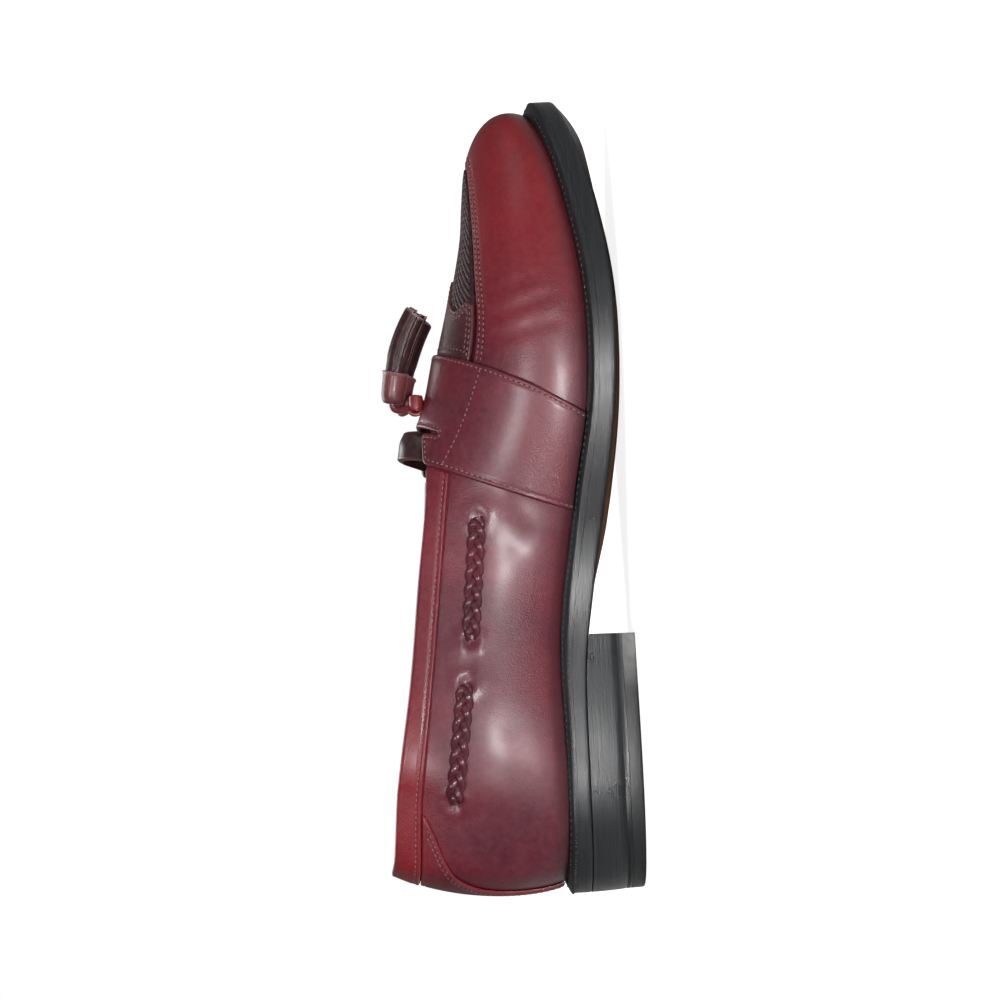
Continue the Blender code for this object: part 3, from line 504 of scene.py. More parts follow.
# Upper
braidLook = {"strand": 1.5, "side": 1.95, "rise": 0.8, "pitch": 17.0, "seat": 1.0,
             "rows": (("front", (136.9, 54.6), (93.0, 59.3)), ("rear", (76.9, 61.9), (34.5, 68.0)))}
upperLook = {"columns": 280, "lowRows": 42, "recess": 1.5, "rubToe": 246.0,
             "seamRows": (0.0, 0.12, 0.3, 0.55, 0.9, 1.3, 1.7, 2.2, 2.8, 3.4, 4.2, 5.2, 6.6, 8.4),
             # creases: x, z of both ends, width, depth, and how much of it the outer side has
             "creases": ((145.5, 49.0, 129.0, 41.0, 5.5, 0.4, 0.6), (129.0, 41.0, 106.0, 30.0, 9.0, 0.3, 0.5),
                         (143.0, 38.0, 136.0, 27.0, 3.6, 0.3, 0.8),
                         (91.0, 60.0, 79.0, 60.5, 2.6, 0.25, 1.0), (90.0, 55.0, 82.0, 52.0, 3.5, 0.12, 0.3),
                         (31.0, 66.0, 17.0, 63.0, 3.0, 0.3, 0.6), (58.0, 44.0, 30.0, 41.0, 7.0, 0.3, 0.7),
                         (200.0, 48.0, 205.0, 24.0, 2.6, 0.22, 0.9),
                         (208.0, 47.0, 214.0, 26.0, 2.4, 0.26, 1.0),
                         (217.0, 46.0, 222.0, 30.0, 2.2, 0.18, 1.0), (24.0, 36.0, 12.0, 44.0, 3.0, 0.2, 0.5),
                         (118.0, 66.0, 96.0, 68.0, 4.0, 0.25, 0.6)),
             "pucker": (2.0, 4.2, 0.36)}
t = np.linspace(0.0, 1.0, upperLook["columns"] + 1)
loopQ = t - 0.07 * np.sin(2 * math.pi * t)
loopQ[np.argmin(np.abs(loopQ - throatQ))] = throatQ
loop = bothSides(loopQ)


def recessShare(s):
    return smoothStep(strapBackQ + 0.01, strapFrontQ - 0.01, folded(s))


def wearAndPaintedShade(points, s):                  # rubbed places of the upper (wear), and painted shade along the welt
    x, z = points[..., 0], points[..., 2]
    rub = smoothStep(upperLook["rubToe"] - 70, upperLook["rubToe"] + 30, x) * 0.95
    rub += 0.55 * smoothStep(70, 84, z) * smoothStep(95, 20, x)
    feather = value(s, "feather")
    # painted shade: darker within 7 mm of the feather line, where the upper meets the welt
    dark = 0.75 * smoothStep(7.0, 0.0, z - feather)
    return np.clip(rub, 0, 1), np.clip(dark, 0, 1)


def wornShape(points, s):                # depth of the creases, and of the puckers round the braid ends
    x, z = points[..., 0], points[..., 2]
    outer = np.mod(s, 2.0) > 1.0
    out = np.zeros(x.shape)
    for ax, az, bx, bz, width, depth, share in upperLook["creases"]:
        run = np.array((bx - ax, bz - az))
        u = np.clip(((x - ax) * run[0] + (z - az) * run[1]) / (run @ run), 0.0, 1.0)
        away = np.hypot(x - ax - u * run[0], z - az - u * run[1]) / width
        dent = np.exp(-away ** 2) - 0.18 * np.exp(-((away - 1.7) / 0.9) ** 2)
        out -= depth * np.where(outer, share, 1.0) * dent
    hole, rim, high = upperLook["pucker"]
    for _, near, far in braidLook["rows"]:
        for endX, endZ in (near, far):
            away = np.hypot(x - endX, z - endZ)
            turn = np.arctan2(z - endZ, x - endX)
            fold = 1.0 + 0.18 * np.sin(7 * turn + endX)
            out += high * fold * np.exp(-((away - rim) / 1.5) ** 2) - 0.8 * np.exp(-(away / hole) ** 2)
    return out


def buildUpper():
    seam = shareAtHeight(loop, value(loop, "seam"))
    top = shareAtHeight(loop, value(loop, "edge"))
    away = np.array(upperLook["seamRows"])
    near = vAway(loop, seam, -away)[:, ::-1]
    low = near[:, :1] * np.linspace(0.0, 1.0, upperLook["lowRows"] + 1)[None, :-1]
    share = recessShare(loop)
    step = (0.16 - 0.12 * share)[:, None]
    above = seam[:, None] + (top - seam)[:, None] * np.concatenate(
        [step * 0.3, step, step + (1 - step) * 0.3, step + (1 - step) * 0.65, np.ones_like(step)], axis=1)
    v = np.concatenate([low, near, above], axis=1)
    s = np.broadcast_to(loop[:, None], v.shape)
    distance = np.full(v.shape[1], 9.0)
    distance[low.shape[1]:low.shape[1] + len(away)] = away[::-1]
    offset = np.zeros(v.shape)
    fold = roundOver(distance, 0.9, 0.9) - 0.9
    fold += groove(distance, 1.5, 0.35, 0.22) + groove(distance, 3.4, 0.35, 0.22)
    offset += fold[None, :] * share[:, None]
    sunk = upperLook["recess"] * share
    offset[:, -4:] -= sunk[:, None]
    offset[:, -5] -= sunk * 0.5
    base = lastPoint(s, v)
    offset += wornShape(base, s)
    rub, dark = wearAndPaintedShade(base, s)
    # painted shade in the two stitch grooves of the plug seam
    gap = 0.7 * np.exp(-((distance - 1.5) / 0.3) ** 2) + 0.7 * np.exp(-((distance - 3.4) / 0.3) ** 2)
    dark = np.clip(dark + gap[None, :] * share[:, None] * 0.5, 0, 1)
    joined = folded(loop) < throatQ - 1e-6
    place(gridShell("vampAndQuarters", shell(s, v, offset), shell(s, v, np.full(v.shape, -wall)),
                    [burgundy, liningTan], True, joined, {"rub": rub, "dark": dark}, 1),
          "burgundy_leather", "upper")


buildUpper()
print("upper ready")


# Sheets that lie on the upper: a table of points and normals read in millimetres
class Sheet:
    def __init__(self, s, v, lengthA, lengthB):
        self.base, self.normal = lastPoint(s, v), lastNormal(s, v)
        self.size = (lengthA, lengthB)
        self.s = s

    def read(self, table, a, b):
        i = np.clip(np.asarray(a) / self.size[0], 0, 1) * (table.shape[0] - 1)
        j = np.clip(np.asarray(b) / self.size[1], 0, 1) * (table.shape[1] - 1)
        i0, j0 = np.minimum(i.astype(int), table.shape[0] - 2), np.minimum(j.astype(int), table.shape[1] - 2)
        fi, fj = i - i0, j - j0
        if table.ndim == 3:
            fi, fj = fi[..., None], fj[..., None]
        return ((table[i0, j0] * (1 - fi) + table[i0 + 1, j0] * fi) * (1 - fj)
                + (table[i0, j0 + 1] * (1 - fi) + table[i0 + 1, j0 + 1] * fi) * fj)

    def at(self, a, b, offset=0.0):
        offset = np.broadcast_to(np.asarray(offset, float), np.shape(a))
        return self.read(self.base, a, b) + unit(self.read(self.normal, a, b)) * offset[..., None]


def overSheet(qLow, qHigh, startOf, countA=70, countB=241):
    q = np.linspace(qLow, qHigh, countA)
    half = np.linspace(0.0, 1.0, countB // 2 + 1)
    sides = []
    lengths = []
    for s in (q, 2.0 - q):
        table = arcs(s)
        start = np.array([np.interp(startOf(one), arcSteps, line) for one, line in zip(s, table)])
        v = np.stack([np.interp(first + (line[-1] - first) * half, line, arcSteps)
                      for first, line in zip(start, table)])
        sides.append((np.broadcast_to(s[:, None], v.shape), v))
        lengths.append((table[:, -1] - start).mean())
    s = np.concatenate([sides[0][0], sides[1][0][:, -2::-1]], axis=1)
    v = np.concatenate([sides[0][1], sides[1][1][:, -2::-1]], axis=1)
    crest = lastPoint(q, np.ones_like(q))
    low = lastPoint(q, np.full(len(q), 0.4))
    lengthA = (np.linalg.norm(np.diff(crest, axis=0), axis=1).sum()
               + np.linalg.norm(np.diff(low, axis=0), axis=1).sum()) / 2
    return Sheet(s, v, lengthA, sum(lengths))


def roundedOutline(corners, step=0.5):   # corners: a, b, radius
    out = []
    count = len(corners)
    for k in range(count):
        before, here, after = (np.array(corners[(k + n) % count][:2], float) for n in (-1, 0, 1))
        toBefore, toAfter = unit(before - here), unit(after - here)
        half = math.acos(max(-1.0, min(1.0, float(toBefore @ toAfter)))) / 2
        radius = corners[k][2]
        if radius <= 0 or abs(half - math.pi / 2) < 0.02:
            out.append(here)
            continue
        run = min(radius / math.tan(half), np.linalg.norm(before - here) * 0.49,
                  np.linalg.norm(after - here) * 0.49)
        first, last = here + toBefore * run, here + toAfter * run
        steps = max(3, int(run * 1.6 / step))
        for m in range(steps + 1):
            u = m / steps
            out.append(bentLine(first, here, last, u))
    dense = []
    for first, last in zip(out, out[1:] + out[:1]):
        length = np.linalg.norm(last - first)
        if length < 1e-6:
            continue
        pieces = max(1, int(round(length / step)))
        dense += [first + (last - first) * m / pieces for m in range(pieces)]
    return np.array(dense)


def inset(outline, distance):
    ahead = unit(np.roll(outline, -1, axis=0) - outline)
    behind = unit(outline - np.roll(outline, 1, axis=0))
    tangent = unit(ahead + behind)
    area = np.sum(outline[:, 0] * np.roll(outline[:, 1], -1) - outline[:, 1] * np.roll(outline[:, 0], -1))
    normal = np.stack([-tangent[:, 1], tangent[:, 0]], axis=1) * (1 if area > 0 else -1)
    return outline + normal * distance


def toOutline(points, outline):          # distance of each point to the outline
    first, last = outline, np.roll(outline, -1, axis=0)
    best = np.full(len(points), 1e9)
    for a, b in zip(first, last):
        run = b - a
        u = np.clip(((points - a) @ run) / (run @ run), 0, 1)
        best = np.minimum(best, np.linalg.norm(points - a - u[:, None] * run, axis=1))
    return best


def inside(points, outline):
    hits = np.zeros(len(points), bool)
    x, y = points[:, 0], points[:, 1]
    for (ax, ay), (bx, by) in zip(outline, np.roll(outline, -1, axis=0)):
        cross = (ay > y) != (by > y)
        with np.errstate(divide="ignore", invalid="ignore"):
            hits ^= cross & (x < (bx - ax) * (y - ay) / (by - ay) + ax)
    return hits


def cutPiece(name, outline, sheet, look, materials, slot, *nodes, edge=None, pitch=1.15):
    rings = [0.0] + list(look["rings"])
    flat = [outline]
    for distance in rings[1:]:
        ring = inset(outline, distance)
        flat.append(ring[(toOutline(ring, outline) > distance * 0.93) & inside(ring, outline)])
    low, high = outline.min(0), outline.max(0)
    ga, gb = np.meshgrid(np.arange(low[0], high[0], pitch), np.arange(low[1], high[1], pitch), indexing="ij")
    gb = gb + (np.arange(ga.shape[0])[:, None] % 2) * pitch / 2
    spots = np.stack([ga.ravel(), gb.ravel()], axis=1)
    spots = spots[inside(spots, outline)]
    spots = spots[toOutline(spots, outline) > rings[-1] + pitch * 0.45]
    flat.append(spots)
    coords = [Vector(p) for part in flat for p in part]
    count = len(outline)
    rimEdges = [(k, (k + 1) % count) for k in range(count)]
    done = delaunay_2d_cdt(coords, rimEdges, [list(range(count))], 1, 1e-5)
    flatPoints = np.array([tuple(p) for p in done[0]])
    triangles = [list(face) for face in done[2]]
    distance = toOutline(flatPoints, outline if edge is None else edge)
    lift = roundOver(distance, look["round"], look["thick"])
    for at, width, depth in look.get("grooves", ()):
        lift += groove(distance, at, width, depth)
    a, b = flatPoints[:, 0], flatPoints[:, 1]
    outer = sheet.at(a, b, look["seat"] + lift)
    inner = sheet.at(a, b, look["seat"])
    size = len(flatPoints)
    edges = {}
    for tri in triangles:
        for p, q in zip(tri, tri[1:] + tri[:1]):
            edges[(p, q)] = edges.get((p, q), 0) + 1
    rim = [[q, p, p + size, q + size] for p, q in edges if (q, p) not in edges]
    faces = triangles + [[k + size for k in reversed(tri)] for tri in triangles] + rim
    # dark: the upper's painted shade along the welt, and edgeDark darkens the cut edge
    rub, dark = wearAndPaintedShade(sheet.at(a, b), sheet.read(sheet.s, a, b))
    rub = rub + look.get("edgeRub", 0.0) * smoothStep(0.9, 0.0, distance)
    dark = dark + look.get("edgeDark", 0.0) * smoothStep(1.0, 0.2, distance)
    both = {"rub": np.tile(np.clip(rub, 0, 1), 2), "dark": np.tile(np.clip(dark, 0, 1), 2)}
    piece = makeMesh(name, world(np.concatenate([outer, inner])), faces, materials, None, both)
    place(piece, slot, *nodes)


seams = {}               # runs of points and normals for the stitcher


def addSeam(points, normals, closed=False, group="fine"):
    seams.setdefault(group, []).append((world(points), normals, closed))


def seamOnSheet(sheet, path, lift):
    a, b = path[:, 0], path[:, 1]
    addSeam(sheet.at(a, b, lift), unit(sheet.read(sheet.normal, a, b)))


# Saddle strap
saddleLook = {"seat": 0.5, "thick": 1.75, "round": 0.8, "rings": (0.1, 0.3, 0.6, 0.95, 1.3, 1.7, 2.1, 2.6),
              "grooves": ((1.9, 0.35, 0.2),), "edgeDark": 0.25, "lean": 4.2, "tuck": 6.0,
              "seamFront": 55.5, "seamBack": 61.5, "notchX": 172.4, "notchFloor": 66.2, "slit": 0.5,
              "wedge": 1.0, "lobeTop": 71.0, "lobeBack": 72.3, "stitchIn": 1.7}
strapSheet = overSheet(strapBackQ, strapFrontQ, lambda s: 0.0005)


def buildSaddle():
    sheet, look = strapSheet, saddleLook
    whole, wide = sheet.size[1], sheet.size[0]
    notchQ = crestShare(look["notchX"])
    notchA = (notchQ - strapBackQ) / (strapFrontQ - strapBackQ) * wide
    slitA = notchA - look["slit"]

    def climb(z, lateral, q=notchQ):
        s = 2.0 - q if lateral else q
        line = arcs([s])[0]
        share = np.interp(shareAtHeight(s, z), arcSteps, line) / line[-1]
        return whole / 2 * (2 - share if lateral else share)

    floorIn, lobeIn = climb(look["notchFloor"], False), climb(look["lobeTop"], False)
    floorOut, lobeOut = climb(look["notchFloor"], True), climb(look["lobeTop"], True)
    backIn, backOut = (climb(look["lobeBack"], side, strapBackQ) for side in (False, True))

    def corners(tuck):                   # tuck: how far the ends are drawn on past the welt
        return [(0, -tuck, 0), (wide - look["lean"], -tuck, 0), (wide - look["lean"], 0, 3),
                (wide - 0.7, 24.0, 30), (wide, 40.0, 30), (wide, whole - 40.0, 30),
                (wide - 0.7, whole - 24.0, 30), (wide - look["lean"], whole, 3),
                (wide - look["lean"], whole + tuck, 0), (0, whole + tuck, 0),
                (0, backOut, 3.6), (slitA - look["wedge"], lobeOut, 1.6), (slitA, floorOut, 0.2),
                (notchA, floorOut, 0.2), (notchA, floorIn, 0.2), (slitA, floorIn, 0.2),
                (slitA - look["wedge"], lobeIn, 1.6), (0, backIn, 3.6)]

    outline = roundedOutline(corners(look["tuck"]))
    cutPiece("saddleStrap", roundedOutline(corners(0.0)), sheet, look, [burgundy],
             "burgundy_leather", "saddle", edge=outline)
    row = inset(outline, look["stitchIn"])
    lift = look["seat"] + look["thick"] - 0.12
    keep = (toOutline(row, outline) > look["stitchIn"] * 0.9) & (row[:, 1] > 0.5) & (row[:, 1] < whole - 0.5)
    first = int(np.argmin(keep))         # start where the row is broken, then walk round once
    run = []
    for k in list(range(first, len(row))) + list(range(first)):
        if keep[k]:
            run.append(row[k])
        if run and (not keep[k] or k == (first - 1) % len(row)):
            if len(run) > 5:
                seamOnSheet(sheet, np.array(run), lift)
            run = []
    for lateral in (False, True):        # the plug's seam goes on across the strap
        first, last = climb(look["seamFront"], lateral), climb(look["seamBack"], lateral)
        u = np.linspace(0.0, 1.0, 60)
        path = np.stack([wide - 2.6 - (wide - 5.2) * u, first + (last - first) * u], axis=1)
        seamOnSheet(sheet, path, lift + 0.06)


buildSaddle()
print("saddle ready")


# Collar band, folded over the edge from strap to strap round the heel
collarLook = {"face": 1.7, "roll": 1.5, "legDown": 5.5, "stitchUp": 2.0, "columns": 330,
              "extraRub": 0.25}


def buildCollar():
    look = collarLook
    q = np.linspace(0.0, strapBackQ + 0.006, look["columns"] // 2)
    s = np.concatenate([2.0 - q[::-1], q[1:]])
    seam = shareAtHeight(s, value(s, "seam"))
    edge = shareAtHeight(s, value(s, "edge"))
    leg = shareAtHeight(s, value(s, "edge") - look["legDown"])
    tall = np.array([np.interp(e, arcSteps, line) - np.interp(m, arcSteps, line)
                     for e, m, line in zip(edge, seam, arcs(s))])
    up = np.array([0.0, 0.15, 0.35, 0.7, 1.2, 1.7, 2.0, 2.4, 2.9])
    lift = look["face"] * np.array([0.35, 0.7, 0.9, 1.0, 0.97, 0.86, 0.82, 0.9, 1.0])
    face = vAway(s, seam, up)
    tuck = 1.0 - 0.85 * smoothStep(strapBackQ - 0.004, strapBackQ + 0.002, folded(s))
    ring = [shell(s, face[:, k], seat + lift[k] * tuck) for k in range(len(up))]
    far = np.linspace(0.0, 1.0, 8)[1:]
    for share in far:
        distance = up[-1] + (tall - up[-1]) * share
        v = np.array([np.interp(np.interp(m, arcSteps, line) + d, line, arcSteps)
                      for m, d, line in zip(seam, distance, arcs(s))])
        ring.append(shell(s, v, seat + look["face"] * (1.0 - 0.06 * share) * tuck))
    middle = shell(s, edge, np.full(len(s), -wall / 2))
    outerTop = ring[-1]
    innerTop = shell(s, edge, np.full(len(s), -wall - look["roll"]))
    half = (outerTop - innerTop) / 2
    centre = (outerTop + innerTop) / 2
    for turn in np.linspace(0.0, math.pi, 9)[1:-1]:
        rise = np.zeros_like(centre)
        rise[:, 2] = math.sin(turn) * (look["roll"] + 0.5)
        ring.append(centre + half * math.cos(turn) + rise)
    ring.append(innerTop)
    for share in (0.3, 0.6, 0.85, 1.0):
        v = edge + (leg - edge) * share
        thin = look["roll"] * (1.0 if share < 0.8 else (0.75 if share < 0.99 else 0.2))
        ring.append(shell(s, v, -wall - 0.1 - thin * np.ones(len(s))))
    outer = np.stack(ring, axis=1)
    innerRing = [shell(s, leg, np.full(len(s), -wall - 0.08)), shell(s, edge, np.full(len(s), -wall - 0.08))]
    top = middle.copy()
    top[:, 2] += 0.25
    innerRing += [top, shell(s, edge, np.full(len(s), seat)), shell(s, seam, np.full(len(s), seat))]
    profile = np.concatenate([outer, np.stack(innerRing, axis=1)], axis=1)
    columns, count = profile.shape[:2]
    faces = bandFaces(columns, count).tolist()
    faces += [list(range(count)), [(columns - 1) * count + k for k in range(count)][::-1]]
    points = profile.reshape(-1, 3)
    rub = np.clip(wearAndPaintedShade(points, np.repeat(s, count))[0] + look["extraRub"], 0, 1)
    place(makeMesh("collarBand", world(points), faces, [burgundy], None, {"rub": rub}),
          "burgundy_leather", "collar_band")
    row = vAway(s, seam, np.array([look["stitchUp"]]))[:, 0]
    shown = folded(s) < strapBackQ - 0.004
    s, row = s[shown], row[shown]
    addSeam(shell(s, row, np.full(len(s), seat + look["face"] * 0.86)), lastNormal(s, row))


buildCollar()
print("collar ready")


# Plain panel and woven plug on the vamp
panelLook = {"seat": -0.2, "thick": 0.95, "round": 0.6, "edgeRub": 0.25, "tip": 227.0,
             "rings": (0.1, 0.3, 0.6, 1.0, 1.4, 1.8, 2.3, 3.0, 3.6),
             "grooves": ((1.5, 0.3, 0.16), (3.3, 0.3, 0.16))}
plugLook = {"pitch": 1.75, "wave": 0.38, "crown": 0.28, "gap": -0.3, "base": 0.15, "rows": 84,
            "step": 0.42, "seat": 0.3}


def plugStart(s):        # v where the recess floor begins, just above the seam
    seam = shareAtHeight(s, value(s, "seam"))
    return seam + (1.0 - seam) * 0.04 + 0.014


def buildPanel():
    back = strapFrontQ - 0.003
    tip = crestShare(panelLook["tip"])
    sheet = overSheet(back, tip, lambda s: float(plugStart(s)) - 0.008, 60, 121)
    wide, whole = sheet.size
    mid = whole / 2
    corners = [(0, 0, 0), (wide * 0.62, 0, 1.0), (wide * 0.66, mid * 0.16, 5), (wide * 0.5, mid * 0.42, 8),
               (wide * 0.66, mid * 0.72, 7), (wide * 1.0, mid, 1.5), (wide * 0.66, mid * 1.28, 7),
               (wide * 0.5, mid * 1.58, 8), (wide * 0.66, mid * 1.84, 5), (wide * 0.62, whole, 1.0),
               (0, whole, 0)]
    outline = roundedOutline(corners)
    cutPiece("plugPanel", outline, sheet, panelLook, [panelCalf], "burgundy_leather", "apron_panel",
             pitch=1.0)
    for distance, _, _ in panelLook["grooves"]:
        row = inset(outline, distance)
        keep = (row[:, 0] > 2.0) & (toOutline(row, outline) > distance * 0.9) & (row[:, 1] > 1.0) \
            & (row[:, 1] < whole - 1.0)
        path = row[keep]
        jump = np.argmax(np.linalg.norm(path - np.roll(path, 1, axis=0), axis=1))
        path = np.roll(path, -jump, axis=0)
        seamOnSheet(sheet, path, panelLook["seat"] + panelLook["thick"] - 0.1)


def weave(points):       # height of a plain weave laid on the diagonal, in plan
    p = plugLook["pitch"]
    u = (points[..., 0] + points[..., 1]) / math.sqrt(2) / p
    w = (points[..., 0] - points[..., 1]) / math.sqrt(2) / p
    iu, iw = np.round(u), np.round(w)
    fu, fw = np.abs(u - iu) * 2, np.abs(w - iw) * 2
    over = np.where((iu + iw) % 2 == 0, 1.0, -1.0)

    def strip(f, along, sign):           # f: 0 on the strip's middle, 1 at its edge
        crown = plugLook["crown"] * np.sqrt(np.clip(1 - (f / 0.96) ** 4, 0, 1))
        height = crown + plugLook["wave"] * sign * np.cos(np.clip(along, 0, 1) * math.pi / 2)
        return np.where(f > 0.95, plugLook["gap"], height)

    return np.maximum(np.maximum(strip(fu, fw, over), strip(fw, fu, -over)), plugLook["gap"])


def buildPlug():
    look = plugLook
    back = strapFrontQ + 0.003
    q = [back]
    while q[-1] < 1.0:
        here = lastPoint(q[-1], plugStart(q[-1]))
        ahead = lastPoint(q[-1] + 0.001, plugStart(q[-1] + 0.001))
        q.append(q[-1] + 0.001 * look["step"] / max(np.linalg.norm(ahead - here), 1e-4))
    q = np.array(q[:-1] + [1.0])
    s = np.concatenate([q, 2.0 - q[-2::-1]])
    start = plugStart(s)
    v = start[:, None] + (1.0 - start)[:, None] * np.linspace(0.0, 1.0, look["rows"])[None, :] ** 0.8
    grid = np.broadcast_to(s[:, None], v.shape)
    base = lastPoint(grid, v)
    height = weave(base)
    rim = np.minimum(np.arange(look["rows"]) * 0.5, 1.0)[None, :]
    floor = -upperLook["recess"] + seat
    offset = floor + look["seat"] + look["base"] + 0.3 + height * rim
    outer = base + lastNormal(grid, v) * offset[..., None]
    inner = shell(grid, v, np.full(v.shape, floor))
    crest = np.zeros(len(s), bool)
    # painted shade in the low places between the woven strips
    dark = np.clip(0.9 * smoothStep(0.1, -0.3, height), 0, 1)
    place(gridShell("wovenPlug", outer, inner, [wovenCalf], False, crest, {"dark": dark}, 0, 80.0),
          "woven_leather", "woven_apron")


def plugSeams():
    q = np.linspace(strapFrontQ + 0.006, 1.0, 160)
    s = np.concatenate([q, 2.0 - q[-2::-1]])
    seam = shareAtHeight(s, value(s, "seam"))
    for distance in (1.5, 3.4):
        v = vAway(s, seam, np.array([-distance]))[:, 0]
        addSeam(shell(s, v, np.full(len(s), -0.1)), lastNormal(s, v))


buildPanel()
buildPlug()
plugSeams()
print("vamp top ready")


# Back strap
heelStrapLook = {"seat": 0.35, "thick": 1.15, "round": 0.7, "edgeRub": 0.5, "reach": 38.0,
                 "rings": (0.1, 0.3, 0.6, 0.95, 1.3, 1.7, 2.1, 2.6),
                 "grooves": ((1.6, 0.3, 0.16), (3.2, 0.3, 0.16)),
                 # heights, and half the strap's width there
                 "half": ((29.2, 6.0), (45.0, 6.0), (56.0, 8.0), (64.0, 13.0), (72.0, 22.0), (79.0, 33.0))}


def buildHeelStrap():
    middle = heelStrapLook["reach"]
    reach = middle / halfLoop
    s = np.linspace(-reach, reach, 90)
    seam = shareAtHeight(s, value(s, "seam")) - 0.002
    table = arcs(s)
    tall = np.array([np.interp(m, arcSteps, line) for m, line in zip(seam, table)])
    share = np.linspace(0.0, 1.0, 90)
    v = np.stack([np.interp(h * share, line, arcSteps) for h, line in zip(tall, table)])
    sheet = Sheet(np.broadcast_to(s[:, None], v.shape), v, 2 * middle, float(tall.mean()))
    heights, widths = zip(*heelStrapLook["half"])
    z = np.linspace(heights[0] + 0.4, heights[-1] + 1.0, 24)
    up = (z - heights[0]) / (heights[-1] + 1.0 - heights[0]) * sheet.size[1]
    half = np.interp(z, heights, widths)
    half = np.convolve(np.pad(half, 2, mode="edge"), np.ones(5) / 5, mode="valid")
    right = [(middle + h, b, 0) for h, b in zip(half, up)]
    left = [(middle - h, b, 0) for h, b in zip(half, up)]
    outline = roundedOutline(right + left[::-1])
    cutPiece("heelStrap", outline, sheet, heelStrapLook, [burgundy], "burgundy_leather", "back_strap",
             pitch=1.2)
    for distance, _, _ in heelStrapLook["grooves"]:
        for side, path in ((1, right), (-1, left)):
            line = np.array([(a - side * distance, b) for a, b, _ in path])
            seamOnSheet(sheet, line[1:-1], heelStrapLook["seat"] + heelStrapLook["thick"] - 0.1)


buildHeelStrap()
print("heel strap ready")


# Tongue
tongueLook = {"back": 160.5, "front": 194.0, "thick": 2.2, "lift": 8.6, "clear": 0.75, "start": 0.6}


def buildTongue():
    look = tongueLook
    columns, sideRows = 90, 44
    count = 2 * sideRows - 1
    level = np.minimum(np.arange(count), count - 1 - np.arange(count)) / (sideRows - 1)
    sideBack, crestBack = strapBackQ + 0.006, crestShare(look["back"])
    front = crestShare(look["front"])
    back = sideBack + (crestBack - sideBack) * np.sin(level * math.pi / 2) ** 2.5
    t = np.linspace(0.0, 1.0, columns) ** 1.3
    q = back[None, :] + (front - back)[None, :] * t[:, None]
    lateral = np.arange(count) >= sideRows
    s = np.where(lateral[None, :], 2.0 - q, q)
    v = np.broadcast_to(look["start"] + (1.0 - look["start"]) * level[None, :], s.shape)
    free = shareAtHeight(s, value(s, "edge"))
    crownX = value(q, "crownX")
    rise = 1.0 - smoothStep(169.0, saddleLook["notchX"] + 2.0, crownX)
    rise *= 0.72 + 0.28 * smoothStep(159.0, 167.0, crownX)
    openShare = np.where(free < 0.95, np.maximum(v - free, 0.0) / np.maximum(1.0 - free, 0.05), 0.0)
    lift = look["lift"] * rise * np.sin(np.clip(openShare, 0, 1) * math.pi / 2) ** 1.5
    edge = np.minimum(np.arange(columns) / 3.0, 1.0)[:, None]
    thick = look["thick"] * (0.45 + 0.55 * np.sqrt(1 - (1 - edge) ** 2))
    offset = lift - wall - look["clear"]
    place(gridShell("tongueFlap", shell(s, v, offset - (look["thick"] - thick) / 2),
                    shell(s, v, offset - look["thick"] + (look["thick"] - thick) / 2),
                    [darkCalf], False, None, {"rub": (1.0 - edge) + 0 * offset}),
          "dark_leather", "tongue")


buildTongue()
print("tongue ready")


# Sole, welt, insole
soleLook = {"share": 0.58, "ink": 3.6, "gap": 0.04, "dome": 3.1, "weltSeat": 5.0}
soleQ = t - 0.07 * np.sin(2 * math.pi * t)
soleLoop = bothSides(soleQ)


def edgePoint(s, out, z):
    s = np.asarray(s, float)
    nx, ny = outward(s)
    height = np.broadcast_to(z, s.shape)
    return np.stack([value(s, "x") + nx * out, value(s, "y") + ny * out, height], axis=-1)


def soleJoint(s):
    low, high = value(s, "sole"), value(s, "feather")
    return low + (high - low) * soleLook["share"]


def plate(name, rings, cells, material, lowHeight=None):       # rings, lowest first
    count = len(rings[0])
    half = count // 2
    points = [p for ring in rings for p in ring]
    band = np.arange(count)
    after = (band + 1) % count
    faces = []
    for level in range(len(rings) - 1):
        base = level * count
        faces += np.stack([base + band, base + after, base + count + after, base + count + band], -1).tolist()
    for level, flip in ((0, True), (len(rings) - 1, False)):
        lines = [[level * count]]
        for i in range(1, half):
            near, far = level * count + i, level * count + count - i
            line = [near]
            for k in range(1, cells):
                u = k / cells
                point = points[near] * (1 - u) + points[far] * u
                if level == 0 and lowHeight:
                    point[2] = lowHeight(i, u, point[2])
                line.append(len(points))
                points.append(point)
            lines.append(line + [far])
        lines.append([level * count + half])
        for line, following in zip(lines, lines[1:]):
            for k in range(cells):
                corners = [line[min(k, len(line) - 1)], following[min(k, len(following) - 1)],
                           following[min(k + 1, len(following) - 1)], line[min(k + 1, len(line) - 1)]]
                face = [c for n, c in enumerate(corners) if c not in corners[:n]]
                faces.append(face[::-1] if flip else face)
    return makeMesh(name, world(np.array(points)), faces, [material])


